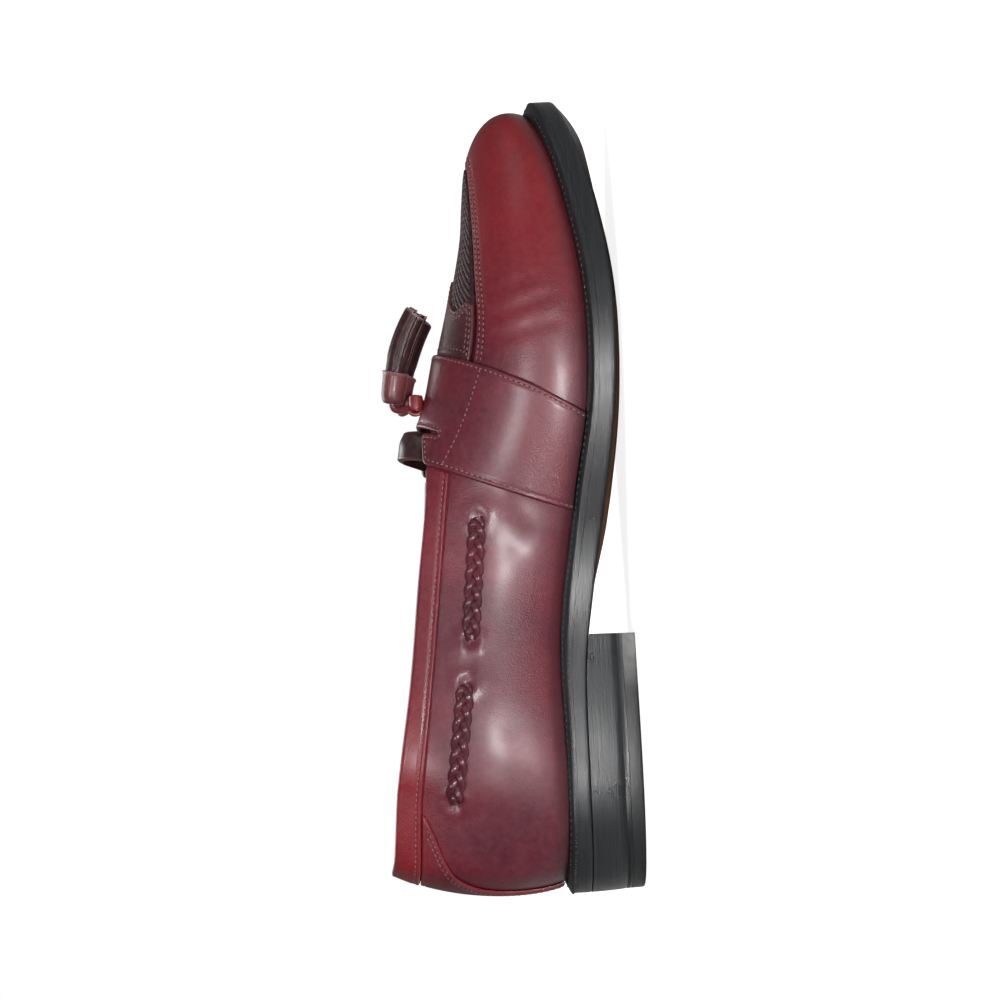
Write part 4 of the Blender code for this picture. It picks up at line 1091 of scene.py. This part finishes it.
def buildSole():
    s = soleLoop
    sole, welt, joint = value(s, "sole"), value(s, "welt"), soleJoint(s)
    q = soleQ
    fade = smoothStep(0.36, 0.5, q) * (1.0 - smoothStep(0.9, 1.0, q))
    depth = np.maximum(soleLook["dome"], 0.35 * value(q, "sole")) * fade

    def tread(i, u, z):
        return max(z - depth[i] * (1.0 - abs(2 * u - 1) ** 2.4), 0.0)

    shape = ((-0.9, 0.0), (-0.45, 0.1), (-0.12, 0.4), (0.0, 0.85), (0.0, 2.0))
    rings = [edgePoint(s, welt + out, sole + up) for out, up in shape]
    rings += [edgePoint(s, welt, joint - 1.0), edgePoint(s, welt, joint - soleLook["gap"])]
    plateObject = plate("outsoleBody", rings, 24, soleTan, tread)
    mesh = plateObject.data
    mesh.materials.append(edgeBlack)
    normals = np.zeros(len(mesh.polygons) * 3)
    mesh.polygons.foreach_get("normal", normals)
    centres = np.zeros(len(mesh.polygons) * 3)
    mesh.polygons.foreach_get("center", centres)
    centres = centres.reshape(-1, 3) * 1000 + (heelCentre, 0, 0)
    rim = edgePoint(s, welt, 0.0)[:, :2]
    inked = toOutline(centres[:, :2], rim) < soleLook["ink"] + 6.0 * smoothStep(200, 225, centres[:, 0])
    side = ((normals.reshape(-1, 3)[:, 2] > -0.8) | inked).astype(np.int32)
    mesh.polygons.foreach_set("material_index", side)
    place(plateObject, "sole_leather", "outsole")

    low, high = joint + soleLook["gap"], value(s, "feather") - 0.15
    bevel = 0.5 * (high - low)
    shape = [(-soleLook["weltSeat"], low, 0), (-soleLook["weltSeat"], high, 0), (0.0, high, 0),
             (0.9, high, 0), (None, high - bevel + 0.25, 0.35), (None, high - bevel - 0.1, 0.08),
             (None, high - bevel - 0.6, 0.0), (None, low, 0.0)]
    ring = np.stack([edgePoint(s, (welt - back) if out is None else np.full(len(s), out), z)
                     for out, z, back in shape], axis=1)
    faces = bandFaces(len(s), ring.shape[1], True).tolist()
    place(makeMesh("weltRing", world(ring.reshape(-1, 3)), faces, [edgeBlack]), "edge_black", "welt")
    row = edgePoint(s, 0.5 + (welt - 0.5) * 0.42, high - bevel * 0.36)
    addSeam(row, np.tile((0.0, 0.0, 1.0), (len(s), 1)), True, "welt")

    bed, rim = -soleLook["weltSeat"] - 0.3, -wall - 0.3
    feather = value(s, "feather")
    rings = [edgePoint(s, bed, joint + 0.15), edgePoint(s, bed, feather), edgePoint(s, rim, feather),
             edgePoint(s, rim, feather + 2.0), edgePoint(s, rim - 0.5, feather + 2.6)]
    place(plate("insoleSock", rings, 8, insoleTan), "insole_leather", "insole")


buildSole()
print("sole ready")


# Heel
heelLook = {"length": 93.0, "taper": 1.2, "lift": 4.8, "hollow": 2.6, "across": 14,
            "joint": (6.6, 0.2)}         # height of the joint line, and how deep it is cut


def heelBlock(name, levels, material, slot, node, rub=0.0):    # levels: taper, height (none: the sole)
    breastQ = bisect(lambda m: value(m, "x") < heelLook["length"])
    q = np.linspace(0.0, 1.0, 90) ** 1.35 * breastQ
    across = heelLook["across"]
    u = np.linspace(0.0, 1.0, across + 1)
    top = value(q, "sole") - 0.08

    def layer(taper, height):
        medial = edgePoint(q, value(q, "welt") - taper, 0.0)
        lateral = edgePoint(2.0 - q, value(2.0 - q, "welt") - taper, 0.0)
        grid = medial[:, None] * (1 - u)[None, :, None] + lateral[:, None] * u[None, :, None]
        grid[-1, :, 0] -= heelLook["hollow"] * (1.0 - (2 * u - 1) ** 2)
        grid[-2, :, 0] -= 0.6 * heelLook["hollow"] * (1.0 - (2 * u - 1) ** 2)
        grid[..., 2] = (top if height is None else np.minimum(height, top - 0.3))[:, None]
        return grid

    layers = [layer(taper, height) for taper, height in levels]
    columns, count = len(q), across + 1
    rim = [i * count for i in range(columns)] + [(columns - 1) * count + j for j in range(1, count)] \
        + [i * count + across for i in range(columns - 2, -1, -1)] + [j for j in range(across - 1, 0, -1)]
    rim = np.array(rim)
    size = columns * count
    points = [layers[0].reshape(-1, 3), layers[-1].reshape(-1, 3)]
    offsets = [0]
    total = 2 * size
    for middle in layers[1:-1]:
        points.append(middle.reshape(-1, 3)[rim])
        offsets.append(total)
        total += len(rim)
    face = quads(columns, count)
    faces = [face.tolist(), (face[:, ::-1] + size).tolist()]
    loops = [rim] + [np.arange(len(rim)) + start for start in offsets[1:]] + [rim + size]
    for first, second in zip(loops, loops[1:]):
        faces.append(np.stack([first, np.roll(first, -1), np.roll(second, -1), second], -1).tolist())
    flat = [f for group in faces for f in group]
    allPoints = np.concatenate(points)
    worn = rub * smoothStep(70.0, 86.0, allPoints[:, 0]) * smoothStep(9.0, 2.0, allPoints[:, 2])
    piece = makeMesh(name, world(allPoints), flat, [material], None, {"rub": worn})
    return place(piece, slot, node)


def buildHeel():
    look = heelLook
    joint, cut = look["joint"]

    def taperAt(z):
        return 0.05 + look["taper"] * 0.73 * (19.0 - z) / 14.0

    levels = [(0.05, None)]
    levels += [(taperAt(z) - 0.1 * math.sin((z - joint) / 12.0 * math.pi), z) for z in (15.0, 12.4, 9.5)]
    for deep, up in ((0.0, 0.35), (cut, 0.1), (cut, -0.1), (0.0, -0.35)):
        levels.append((taperAt(joint) + deep, joint + up))
    levels.append((look["taper"] * 0.78, look["lift"] + 0.1))
    heelBlock("heelStack", levels, heelBlack, "edge_black", "heel_stack")
    levels = [(look["taper"] * 0.8, look["lift"]), (look["taper"] * 0.78, look["lift"] - 0.5),
              (look["taper"] * 0.9, 0.9), (look["taper"], 0.35), (look["taper"] + 0.4, 0.0)]
    heelBlock("topLift", levels, liftBlack, "lift_rubber", "top_lift", 1.0)


buildHeel()
print("heel ready")


# Braids
def startTree(name, sizes, shades):      # sizes: start values by name, shades: names of the material inputs
    tree = bpy.data.node_groups.new(name, "GeometryNodeTree")
    face = tree.interface
    face.new_socket("Geometry", in_out="INPUT", socket_type="NodeSocketGeometry")
    for label, start in sizes.items():
        face.new_socket(label, in_out="INPUT", socket_type="NodeSocketFloat").default_value = start
    for label in shades:
        face.new_socket(label, in_out="INPUT", socket_type="NodeSocketMaterial")
    face.new_socket("Geometry", in_out="OUTPUT", socket_type="NodeSocketGeometry")
    return tree, addNode(tree, "NodeGroupInput").outputs


def pathVector(tree, name):
    return made(tree, "GeometryNodeInputNamedAttribute", {"Name": name}, data_type="FLOAT_VECTOR")


def vectorMaths(tree, operation, inputs):
    return made(tree, "ShaderNodeVectorMath", inputs, operation=operation)


def braidTree():                         # three flat strands that swing past each other along the path
    sizes = {"Strand radius": 0.0012, "Side swing": 0.002, "Rise": 0.0008, "Turns": 5.0}
    tree, given = startTree("braidAlongPath", sizes, ["Leather"])
    path = made(tree, "GeometryNodeMeshToCurve", {0: given["Geometry"]})
    path = made(tree, "GeometryNodeResampleCurve", {"Curve": path, "Count": 150})
    factor = addNode(tree, "GeometryNodeSplineParameter").outputs["Factor"]
    up, across = pathVector(tree, "up"), pathVector(tree, "across")
    ends = maths(tree, "SINE", maths(tree, "MULTIPLY", factor, math.pi))
    ends = maths(tree, "MULTIPLY", ends, 4.0, clamp=True)
    join = addNode(tree, "GeometryNodeJoinGeometry")
    ring = made(tree, "GeometryNodeCurvePrimitiveCircle",
                {"Resolution": 10, "Radius": given["Strand radius"]})
    ring = made(tree, "GeometryNodeTransform", {"Geometry": ring, "Scale": (0.6, 1.0, 1.0)})
    turn = maths(tree, "MULTIPLY", factor, given["Turns"])
    for k in range(3):
        angle = maths(tree, "MULTIPLY", maths(tree, "ADD", turn, k / 3), 2 * math.pi)
        swing = maths(tree, "MULTIPLY", maths(tree, "SINE", angle), given["Side swing"])
        swing = maths(tree, "MULTIPLY", swing, ends)
        lift = maths(tree, "SINE", maths(tree, "MULTIPLY", angle, 2.0))
        lift = maths(tree, "MULTIPLY", lift, given["Rise"])
        move = vectorMaths(tree, "ADD", {0: vectorMaths(tree, "SCALE", {0: across, "Scale": swing}),
                                         1: vectorMaths(tree, "SCALE", {0: up, "Scale": lift})})
        strand = made(tree, "GeometryNodeSetPosition", {"Geometry": path, "Offset": move})
        strand = made(tree, "GeometryNodeSetCurveNormal", {"Curve": strand, "Normal": up}, mode="FREE")
        tube = made(tree, "GeometryNodeCurveToMesh", {"Curve": strand, "Profile Curve": ring,
                                                      "Fill Caps": True})
        tree.links.new(tube, join.inputs[0])
    smooth = made(tree, "GeometryNodeSetShadeSmooth", {0: join.outputs[0]})
    real = made(tree, "GeometryNodeRealizeInstances", {0: smooth})
    addNode(tree, "NodeGroupOutput", {0: made(tree, "GeometryNodeSetMaterial",
                                              {"Geometry": real, "Material": given["Leather"]})})
    return tree


def pathMesh(name, runs, extras=()):     # polylines with their up vectors, and more vectors if given
    points, edges, ups = [], [], []
    more = {key: [] for key in extras}
    for run in runs:
        line, normals, closed = run[:3]
        start = len(points)
        points += [tuple(p) for p in line]
        ups += [tuple(n) for n in normals]
        for key, vectors in zip(extras, run[3:]):
            more[key] += [tuple(n) for n in vectors]
        edges += [(start + k, start + k + 1) for k in range(len(line) - 1)]
        if closed:
            edges.append((start + len(line) - 1, start))
    mesh = bpy.data.meshes.new(name)
    mesh.from_pydata(points, edges, [])
    for key, vectors in [("up", ups)] + list(more.items()):
        layer = mesh.attributes.new(key, "FLOAT_VECTOR", "POINT")
        layer.data.foreach_set("vector", np.array(vectors, np.float32).ravel())
    carrier = bpy.data.objects.new(name, mesh)
    bpy.context.scene.collection.objects.link(carrier)
    return carrier


def runTree(carrier, tree, name, settings):
    change = carrier.modifiers.new("pattern", "NODES")
    change.node_group = tree
    for item in tree.interface.items_tree:
        if item.item_type == "SOCKET" and item.in_out == "INPUT" and item.name in settings:
            change[item.identifier] = settings[item.name]
    evaluated = carrier.evaluated_get(bpy.context.evaluated_depsgraph_get())
    mesh = bpy.data.meshes.new_from_object(evaluated)
    carrier.modifiers.clear()
    mesh.name = name
    bpy.data.objects.remove(carrier)
    piece = bpy.data.objects.new(name, mesh)
    bpy.context.scene.collection.objects.link(piece)
    return piece


def buildBraids():
    look = braidLook
    tree = braidTree()
    for sideName in ("medial", "lateral"):
        for placeName, near, far in look["rows"]:
            startS, endS = (locate(*end, sideName == "lateral")[0] for end in (near, far))
            u = np.linspace(0.0, 1.0, 60)
            s = startS + (endS - startS) * u
            z = near[1] + (far[1] - near[1]) * u
            v = shareAtHeight(s, z)
            height = look["seat"] - 1.6 * (1 - smoothStep(0.0, 0.06, u)) - 1.6 * smoothStep(0.94, 1.0, u)
            line = shell(s, v, height)
            up = lastNormal(s, v)
            across = unit(np.cross(np.gradient(line, axis=0), up))
            carrier = pathMesh("braidPath", [(world(line), up, False, across)], ("across",))
            turns = math.dist(near, far) / look["pitch"]
            piece = runTree(carrier, tree, "braid" + sideName.capitalize() + placeName.capitalize(),
                            {"Strand radius": look["strand"] * 0.001, "Side swing": look["side"] * 0.001,
                             "Rise": look["rise"] * 0.001, "Turns": turns, "Leather": braidCalf})
            place(piece, "burgundy_leather", "braid_" + sideName + "_" + placeName)


braidCalf = leather("braidCalf", dict(leatherLook, mid=(0.13, 0.014, 0.028, 1), deep=(0.06, 0.008, 0.016, 1),
                                      rough=0.32, coat=0.5, coatRough=0.2, grain=0.00004))
buildBraids()
print("braids ready")


# Tassels, thong and knot
tasselLook = {"root": (181.8, 83.4), "bend": (201.0, 81.6), "tip": (215.0, 72.6), "spread": 6.6,
              "outerDrop": (2.6, 2.8, 2.0),         # the outer tassel lies this much lower: root, bend, tip
              "cap": 4.9, "fringe": 4.0, "capEnd": 0.31, "strips": 9, "stripWide": 1.75, "stripThick": 1.1}


def tasselLine(side, share):
    look = tasselLook
    ridge = value(crestShare(look["root"][0]), "ridge")
    root = np.array((look["root"][0], ridge + side * look["spread"], look["root"][1]))
    bend = np.array((look["bend"][0], ridge + side * (look["spread"] + 2.0), look["bend"][1]))
    tip = np.array((look["tip"][0], ridge + side * (look["spread"] + 5.0), look["tip"][1]))
    if side > 0:
        root[2], bend[2], tip[2] = (p[2] - drop for p, drop in zip((root, bend, tip), look["outerDrop"]))
    share = np.asarray(share, float)[..., None]
    return bentLine(root, bend, tip, share)


def lineFrame(line):
    ahead = unit(np.gradient(line, axis=0))
    side = unit(np.cross(ahead, (0.0, 0.0, 1.0)))
    return ahead, side, np.cross(side, ahead)


def sweep(line, profile, radii):         # profile: unit shape, radii: one for each point
    _, side, up = lineFrame(line)
    return (line[:, None] + side[:, None] * (profile[None, :, 0:1] * radii[:, None, None])
            + up[:, None] * (profile[None, :, 1:2] * radii[:, None, None]))


def ringShape(count, square=1.0):        # unit ring; a lower square makes it boxier
    angle = np.linspace(0.0, 2 * math.pi, count + 1)[:-1]
    ring = np.stack([np.cos(angle), np.sin(angle)], axis=1)
    return np.sign(ring) * np.abs(ring) ** square


def tubeFaces(rings, count, start=0):
    last = start + (rings - 1) * count
    caps = [list(range(start, start + count)), list(range(last, last + count))]
    return (bandFaces(rings, count) + start).tolist() + caps


def buildTassel(name, side, node):
    look = tasselLook
    points, faces, dark, rub = [], [], [], []
    total = 0
    capSides = 36
    turn = np.linspace(0.0, 2 * math.pi, capSides + 1)[:-1]
    share = look["capEnd"] / 0.35 * np.array([0.0, 0.012, 0.04, 0.08, 0.13, 0.18, 0.23, 0.27, 0.3, 0.325,
                                              0.335, 0.345, 0.35, 0.352, 0.34])
    radius = look["cap"] * np.array([0.4, 0.72, 0.86, 0.93, 0.95, 0.97, 0.98, 1.0, 1.02, 1.04, 1.1, 1.11,
                                     1.08, 0.98, 0.9])
    line = tasselLine(side, share)
    rings = sweep(line, ringShape(capSides) * (1.0, 0.92), radius)
    wobble = 1.0 + 0.025 * np.sin(3 * turn + 1.0) * smoothStep(0.0, 0.2, share)[:, None]
    rings = line[:, None] + (rings - line[:, None]) * wobble[..., None]
    points.append(rings.reshape(-1, 3))
    faces += tubeFaces(len(share), capSides, total)
    total += len(share) * capSides
    # painted shade at the cap's root, where the thong goes in
    dark.append(np.repeat(0.25 * smoothStep(0.2, 0.0, share), capSides))
    rub.append(np.repeat(0.12 + 0.5 * smoothStep(look["capEnd"] - 0.04, look["capEnd"], share), capSides))
    shape = ringShape(10, 0.6)
    layers = ((look["strips"], 1.0, 1.0), (6, 0.58, 0.9), (3, 0.22, 0.8))       # count, how far out, how wide
    for ringIndex, (strips, away, wide) in enumerate(layers):
        for k in range(strips):
            angle = 2 * math.pi * (k + 0.5 * ringIndex) / strips + dice.uniform(-0.06, 0.06)
            long = 1.0 - dice.uniform(0.0, 0.045) - 0.01 * ringIndex
            u = np.linspace(look["capEnd"] - 0.03, long, 22)
            spine = tasselLine(side, u)
            _, sideways, up = lineFrame(spine)
            swell = 1.0 + 0.05 * np.sin((u - 0.35) / 0.65 * math.pi) + dice.uniform(-0.05, 0.05)
            flare = look["fringe"] * away * swell * (0.9 + 0.1 * smoothStep(0.35, 0.5, u))
            sway = angle + dice.uniform(-0.16, 0.16) * smoothStep(0.4, 1.0, u)
            outWay = sideways * np.cos(sway)[:, None] + up * (np.sin(sway) * 0.92)[:, None]
            around = -sideways * np.sin(sway)[:, None] + up * np.cos(sway)[:, None]
            centre = spine + outWay * flare[:, None]
            ring = (centre[:, None] + around[:, None] * shape[None, :, 0:1] * look["stripWide"] * wide
                    + outWay[:, None] * shape[None, :, 1:2] * look["stripThick"] / 2
                    - outWay[:, None] * (shape[None, :, 0:1] ** 2) * 0.28)
            points.append(ring.reshape(-1, 3))
            faces += tubeFaces(len(u), 10, total)
            total += len(u) * 10
            edge = np.tile(np.abs(shape[:, 0]) > 0.9, len(u)).astype(float)
            # painted shade on the strips just under the cap
            dark.append(np.repeat(0.4 * smoothStep(look["capEnd"] + 0.12, look["capEnd"], u), 10))
            rub.append(0.7 * edge + np.repeat(0.9 * smoothStep(long - 0.03, long - 0.01, u), 10))
    slots = [1 if face[0] < len(share) * capSides else 0 for face in faces]
    piece = makeMesh(name, world(np.concatenate(points)), faces, [tasselCalf, capCalf], slots,
                     {"dark": np.concatenate(dark), "rub": np.clip(np.concatenate(rub), 0, 1)})
    place(piece, "burgundy_leather", node)


def buildKnot():
    knotQ = crestShare(181.0)
    ridge = float(value(knotQ, "ridge"))
    seatPoint = shell(knotQ, 1.0, saddleLook["seat"] + saddleLook["thick"])
    centre = np.array((seatPoint[0], ridge, seatPoint[2] + 3.0))
    points, faces = [], []
    total = 0
    u = np.linspace(0.0, 2 * math.pi, 33)[:-1]
    shape = ringShape(12, 0.5)

    def addLoop(line, wide, thick, roll):            # closed band of leather
        nonlocal total
        ahead = unit(np.roll(line, -1, axis=0) - np.roll(line, 1, axis=0))
        across = np.broadcast_to(np.array(roll, float), ahead.shape)
        out = unit(np.cross(ahead, across))
        ring = (line[:, None] + across[:, None] * shape[None, :, 0:1] * wide
                + out[:, None] * shape[None, :, 1:2] * thick)
        points.append(ring.reshape(-1, 3))
        faces.extend((bandFaces(len(line), len(shape), True) + total).tolist())
        total += len(line) * len(shape)

    for sign in (-1, 1):
        loop = np.stack([centre[0] + 0.5 + 0.0 * u, centre[1] + sign * (3.6 + 2.9 * np.cos(u)),
                         centre[2] - 0.5 + 2.1 * np.sin(u)], axis=1)
        addLoop(loop, 2.6, 0.5, (1.0, 0.0, 0.0))
    wrap = np.stack([centre[0] + 3.4 * np.cos(u), centre[1] + 0.0 * u,
                     centre[2] - 0.2 + 3.0 * np.sin(u)], axis=1)
    addLoop(wrap, 1.7, 0.6, (0.0, 1.0, 0.0))
    piece = makeMesh("knotBow", world(np.concatenate(points)), faces, [knotCalf], None, {"rub": 0.6})
    place(piece, "burgundy_leather", "thong_knot")
    for name, side in (("thongMedial", -1), ("thongLateral", 1)):
        end = tasselLine(side, 0.0)
        ahead = unit(tasselLine(side, 0.03) - end)
        foot = np.array((centre[0] - 1.0, ridge + side * 2.2, centre[2] + 2.0))
        middle = end - ahead * 4.0
        w = np.linspace(0, 1, 14)[:, None]
        line = bentLine(foot, middle, end + ahead * 0.4, w)
        ring = sweep(line, ringShape(16), np.full(14, 1.15))
        place(makeMesh(name, world(ring.reshape(-1, 3)), tubeFaces(14, 16), [knotCalf], None, {"dark": 0.3}),
              "dark_leather", "thong_" + name[5:].lower())


tasselCalf = leather("tasselCalf", dict(leatherLook, mid=(0.026, 0.009, 0.012, 1),
                                        deep=(0.012, 0.005, 0.007, 1), rubbed=(0.42, 0.33, 0.33, 1),
                                        coat=0.1, shine=0.35))
capCalf = leather("capCalf", dict(leatherLook, mid=(0.2, 0.03, 0.04, 1), deep=(0.09, 0.016, 0.022, 1),
                                  rubbed=(0.4, 0.24, 0.24, 1)))
knotCalf = leather("knotCalf", dict(leatherLook, mid=(0.3, 0.045, 0.06, 1), deep=(0.12, 0.02, 0.03, 1)))
buildTassel("tasselMedial", -1, "tassel_medial")
buildTassel("tasselLateral", 1, "tassel_lateral")
buildKnot()
print("tassels ready")


# Stitches along every seam, and the wheel marks round the heel, in metres
stitchLook = {
    "fine": {"piece": "stitchesFine", "slot": "burgundy_leather", "spacing": 0.0021, "long": 0.0014,
             "wide": 0.00055, "thread": seamThread, "hole": 0.00065},
    "welt": {"piece": "stitchesWelt", "slot": "edge_black", "spacing": 0.0026, "long": 0.0016,
             "wide": 0.00052, "thread": weltThreadAndMarkGlint, "hole": 0.0005},
    # the wheel marks are small bumps; their grey is painted highlight, standing in for light caught by the
    # wheel's dents (the welt stitches use the same grey as thread colour)
    "wheel": {"piece": "wheelMarks", "slot": "edge_black", "spacing": 0.00125, "long": 0.0003,
              "wide": 0.0009, "thread": weltThreadAndMarkGlint, "hole": 0.0002}}


def stitchTree():
    sizes = {"Spacing": 0.002, "Stitch length": 0.0014, "Stitch width": 0.0005, "Hole size": 0.0005}
    tree, given = startTree("stitchAlongPath", sizes, ["Thread", "Hole shade"])
    seam = made(tree, "GeometryNodeMeshToCurve", {0: given["Geometry"]})
    path = made(tree, "GeometryNodeResampleCurve", {"Curve": seam, "Length": given["Spacing"]}, mode="LENGTH")
    tangent = made(tree, "GeometryNodeInputTangent")
    turn = made(tree, "FunctionNodeAlignRotationToVector", {"Vector": tangent}, axis="X")
    turn = made(tree, "FunctionNodeAlignRotationToVector",
                {"Rotation": turn, "Vector": pathVector(tree, "up")}, axis="Z", pivot_axis="X")
    ball = made(tree, "GeometryNodeMeshUVSphere", {"Segments": 6, "Rings": 5, "Radius": 0.5})
    ball = made(tree, "GeometryNodeTransform", {"Geometry": ball, "Rotation": (0.0, math.pi / 2, 0.0)})

    def scatter(line, size, shade):
        spots = made(tree, "GeometryNodeInstanceOnPoints",
                     {"Points": line, "Instance": ball, "Rotation": turn, "Scale": size})
        real = made(tree, "GeometryNodeRealizeInstances", {0: spots})
        return made(tree, "GeometryNodeSetMaterial", {"Geometry": real, "Material": shade})

    wide = given["Stitch width"]
    threads = scatter(path, made(tree, "ShaderNodeCombineXYZ", {0: given["Stitch length"], 1: wide, 2: wide}),
                      given["Thread"])
    half = maths(tree, "MULTIPLY", given["Spacing"], 0.5)
    shifted = addNode(tree, "GeometryNodeTrimCurve", {"Curve": path}, mode="LENGTH")
    for socket in shifted.inputs:
        if socket.name == "Start" and socket.enabled:
            tree.links.new(half, socket)
        if socket.name == "End" and socket.enabled:
            socket.default_value = 100.0
    between = made(tree, "GeometryNodeResampleCurve",
                   {"Curve": shifted.outputs[0], "Length": given["Spacing"]}, mode="LENGTH")
    # the holes: dark dots between the stitches, painted shade for the stitch holes
    flat = vectorMaths(tree, "SCALE", {0: (1.0, 1.0, 0.45), "Scale": given["Hole size"]})
    holes = scatter(between, flat, given["Hole shade"])
    join = addNode(tree, "GeometryNodeJoinGeometry")
    for part in (threads, holes):
        tree.links.new(part, join.inputs[0])
    addNode(tree, "NodeGroupOutput", {0: made(tree, "GeometryNodeSetShadeSmooth", {0: join.outputs[0]})})
    return tree


def markHeel():                          # the row of wheel marks on the sole's edge, round the heel
    start = bisect(lambda m: value(m, "x") < heelLook["length"] - 1.0)
    s = np.linspace(start, 0.0, 160)
    s = np.concatenate([s, 2.0 - s[::-1][1:]])
    marks = edgePoint(s, value(s, "welt") + 0.05, 0.0)
    marks[:, 2] = 0.28 * value(s, "sole") + 0.72 * value(s, "feather")
    nx, ny = outward(s)
    addSeam(marks, np.stack([nx, ny, 0.0 * nx], axis=-1), group="wheel")


markHeel()
stitcher = stitchTree()
for group, look in stitchLook.items():
    piece = runTree(pathMesh("seamPath", seams[group]), stitcher, look["piece"],
                    {"Spacing": look["spacing"], "Stitch length": look["long"], "Stitch width": look["wide"],
                     "Thread": look["thread"], "Hole size": look["hole"], "Hole shade": paintedHoleShade})
    place(piece, look["slot"])
print("stitches ready")


# Floor, light and camera
viewLook = {"azimuth": -6.0, "elevation": 1.6, "distance": 1.6, "lens": 156.8, "lean": 2.7,
            "aim": (0.103, 0.0, 0.0455)}
# azimuth, elevation, distance, size, power, and the point lit
lampLook = {"keyLamp": (-10, 1.2, 1.9, (0.3, 0.14), 2.7, viewLook["aim"]),
            "instepLamp": (-12, 31, 1.6, (0.26, 0.24), 7, viewLook["aim"]),
            "toeLamp": (60, 26, 1.5, (0.5, 0.5), 0.9, viewLook["aim"]),
            "heelLamp": (0, -1.2, 0.33, (0.046, 0.018), 0.5, (0.063, -0.03, 0.0175)),
            "backLamp": (180, 50, 1.3, (0.8, 0.8), 7, viewLook["aim"])}
floorSide = 4.0
skyDim = 0.12            # what the shoe gets from the white surroundings


def buildFloor():
    corners = [(x * floorSide, y * floorSide, 0.0) for x, y in ((-1, -1), (1, -1), (1, 1), (-1, 1))]
    mesh = bpy.data.meshes.new("studioFloor")
    mesh.from_pydata(corners, [], [(0, 1, 2, 3)])
    material, tree, shader, where = startMaterial("paleFloor")
    shader.inputs["Base Color"].default_value = (0.8, 0.8, 0.8, 1)
    shader.inputs["Roughness"].default_value = 0.85
    shader.inputs["Emission Color"].default_value = (1, 1, 1, 1)
    far = addNode(tree, "ShaderNodeVectorMath", {0: where}, operation="LENGTH").outputs["Value"]
    seen = addNode(tree, "ShaderNodeLightPath").outputs["Is Camera Ray"]
    tree.links.new(maths(tree, "MULTIPLY", fit(tree, far, 0.15, 0.6, 0.85, 1.0), seen),
                   shader.inputs["Emission Strength"])
    mesh.materials.append(material)
    addObject("studioFloor", mesh)


def buildSky():                          # white where the camera looks, dim as a light
    sky = bpy.data.worlds.new("studio")
    sky.use_nodes = True
    tree = sky.node_tree
    tree.nodes.clear()
    seen = addNode(tree, "ShaderNodeLightPath").outputs["Is Camera Ray"]
    dim, bright = (made(tree, "ShaderNodeBackground", {"Color": (1, 1, 1, 1), "Strength": strength})
                   for strength in (skyDim, 1.0))
    mixed = made(tree, "ShaderNodeMixShader", {0: seen, 1: dim, 2: bright})
    addNode(tree, "ShaderNodeOutputWorld", {0: mixed})
    bpy.context.scene.world = sky


def standOff(aim, azimuth, elevation, distance):
    a, e = math.radians(azimuth), math.radians(elevation)
    return aim + Vector((math.sin(a) * math.cos(e), -math.cos(a) * math.cos(e), math.sin(e))) * distance


def addLamp(name, azimuth, elevation, distance, size, power, aim):
    lamp = bpy.data.lights.new(name, "AREA")
    lamp.shape = "RECTANGLE"
    lamp.size, lamp.size_y = size
    lamp.energy = power
    holder = addObject(name, lamp)
    aim = Vector(aim)
    where = standOff(aim, azimuth, elevation, distance)
    turn = (aim - where).to_track_quat("-Z", "Y").to_matrix().to_4x4()
    holder.matrix_world = Matrix.Translation(where) @ turn
    holder.visible_camera = False


def buildCamera():                       # rolled so that the toe points up, as in the photo
    look = viewLook
    aim = Vector(look["aim"])
    where = standOff(aim, look["azimuth"], look["elevation"], look["distance"])
    back = (where - aim).normalized()
    right = Vector((0, 0, 1)).cross(back).normalized()
    up = back.cross(right)
    lean = math.radians(look["lean"])
    imageRight = -right * math.sin(lean) - up * math.cos(lean)
    imageUp = right * math.cos(lean) - up * math.sin(lean)
    camera = bpy.data.cameras.new("viewCamera")
    camera.lens = look["lens"]
    camera.sensor_width = 36.0
    holder = addObject("viewCamera", camera)
    turn = Matrix((imageRight, imageUp, back)).transposed().to_4x4()
    holder.matrix_world = Matrix.Translation(where) @ turn
    bpy.context.scene.camera = holder


buildFloor()
buildSky()
for name, lamp in lampLook.items():
    addLamp(name, *lamp)
buildCamera()
bpy.context.scene.view_settings.view_transform = "Standard"
print("stage ready")
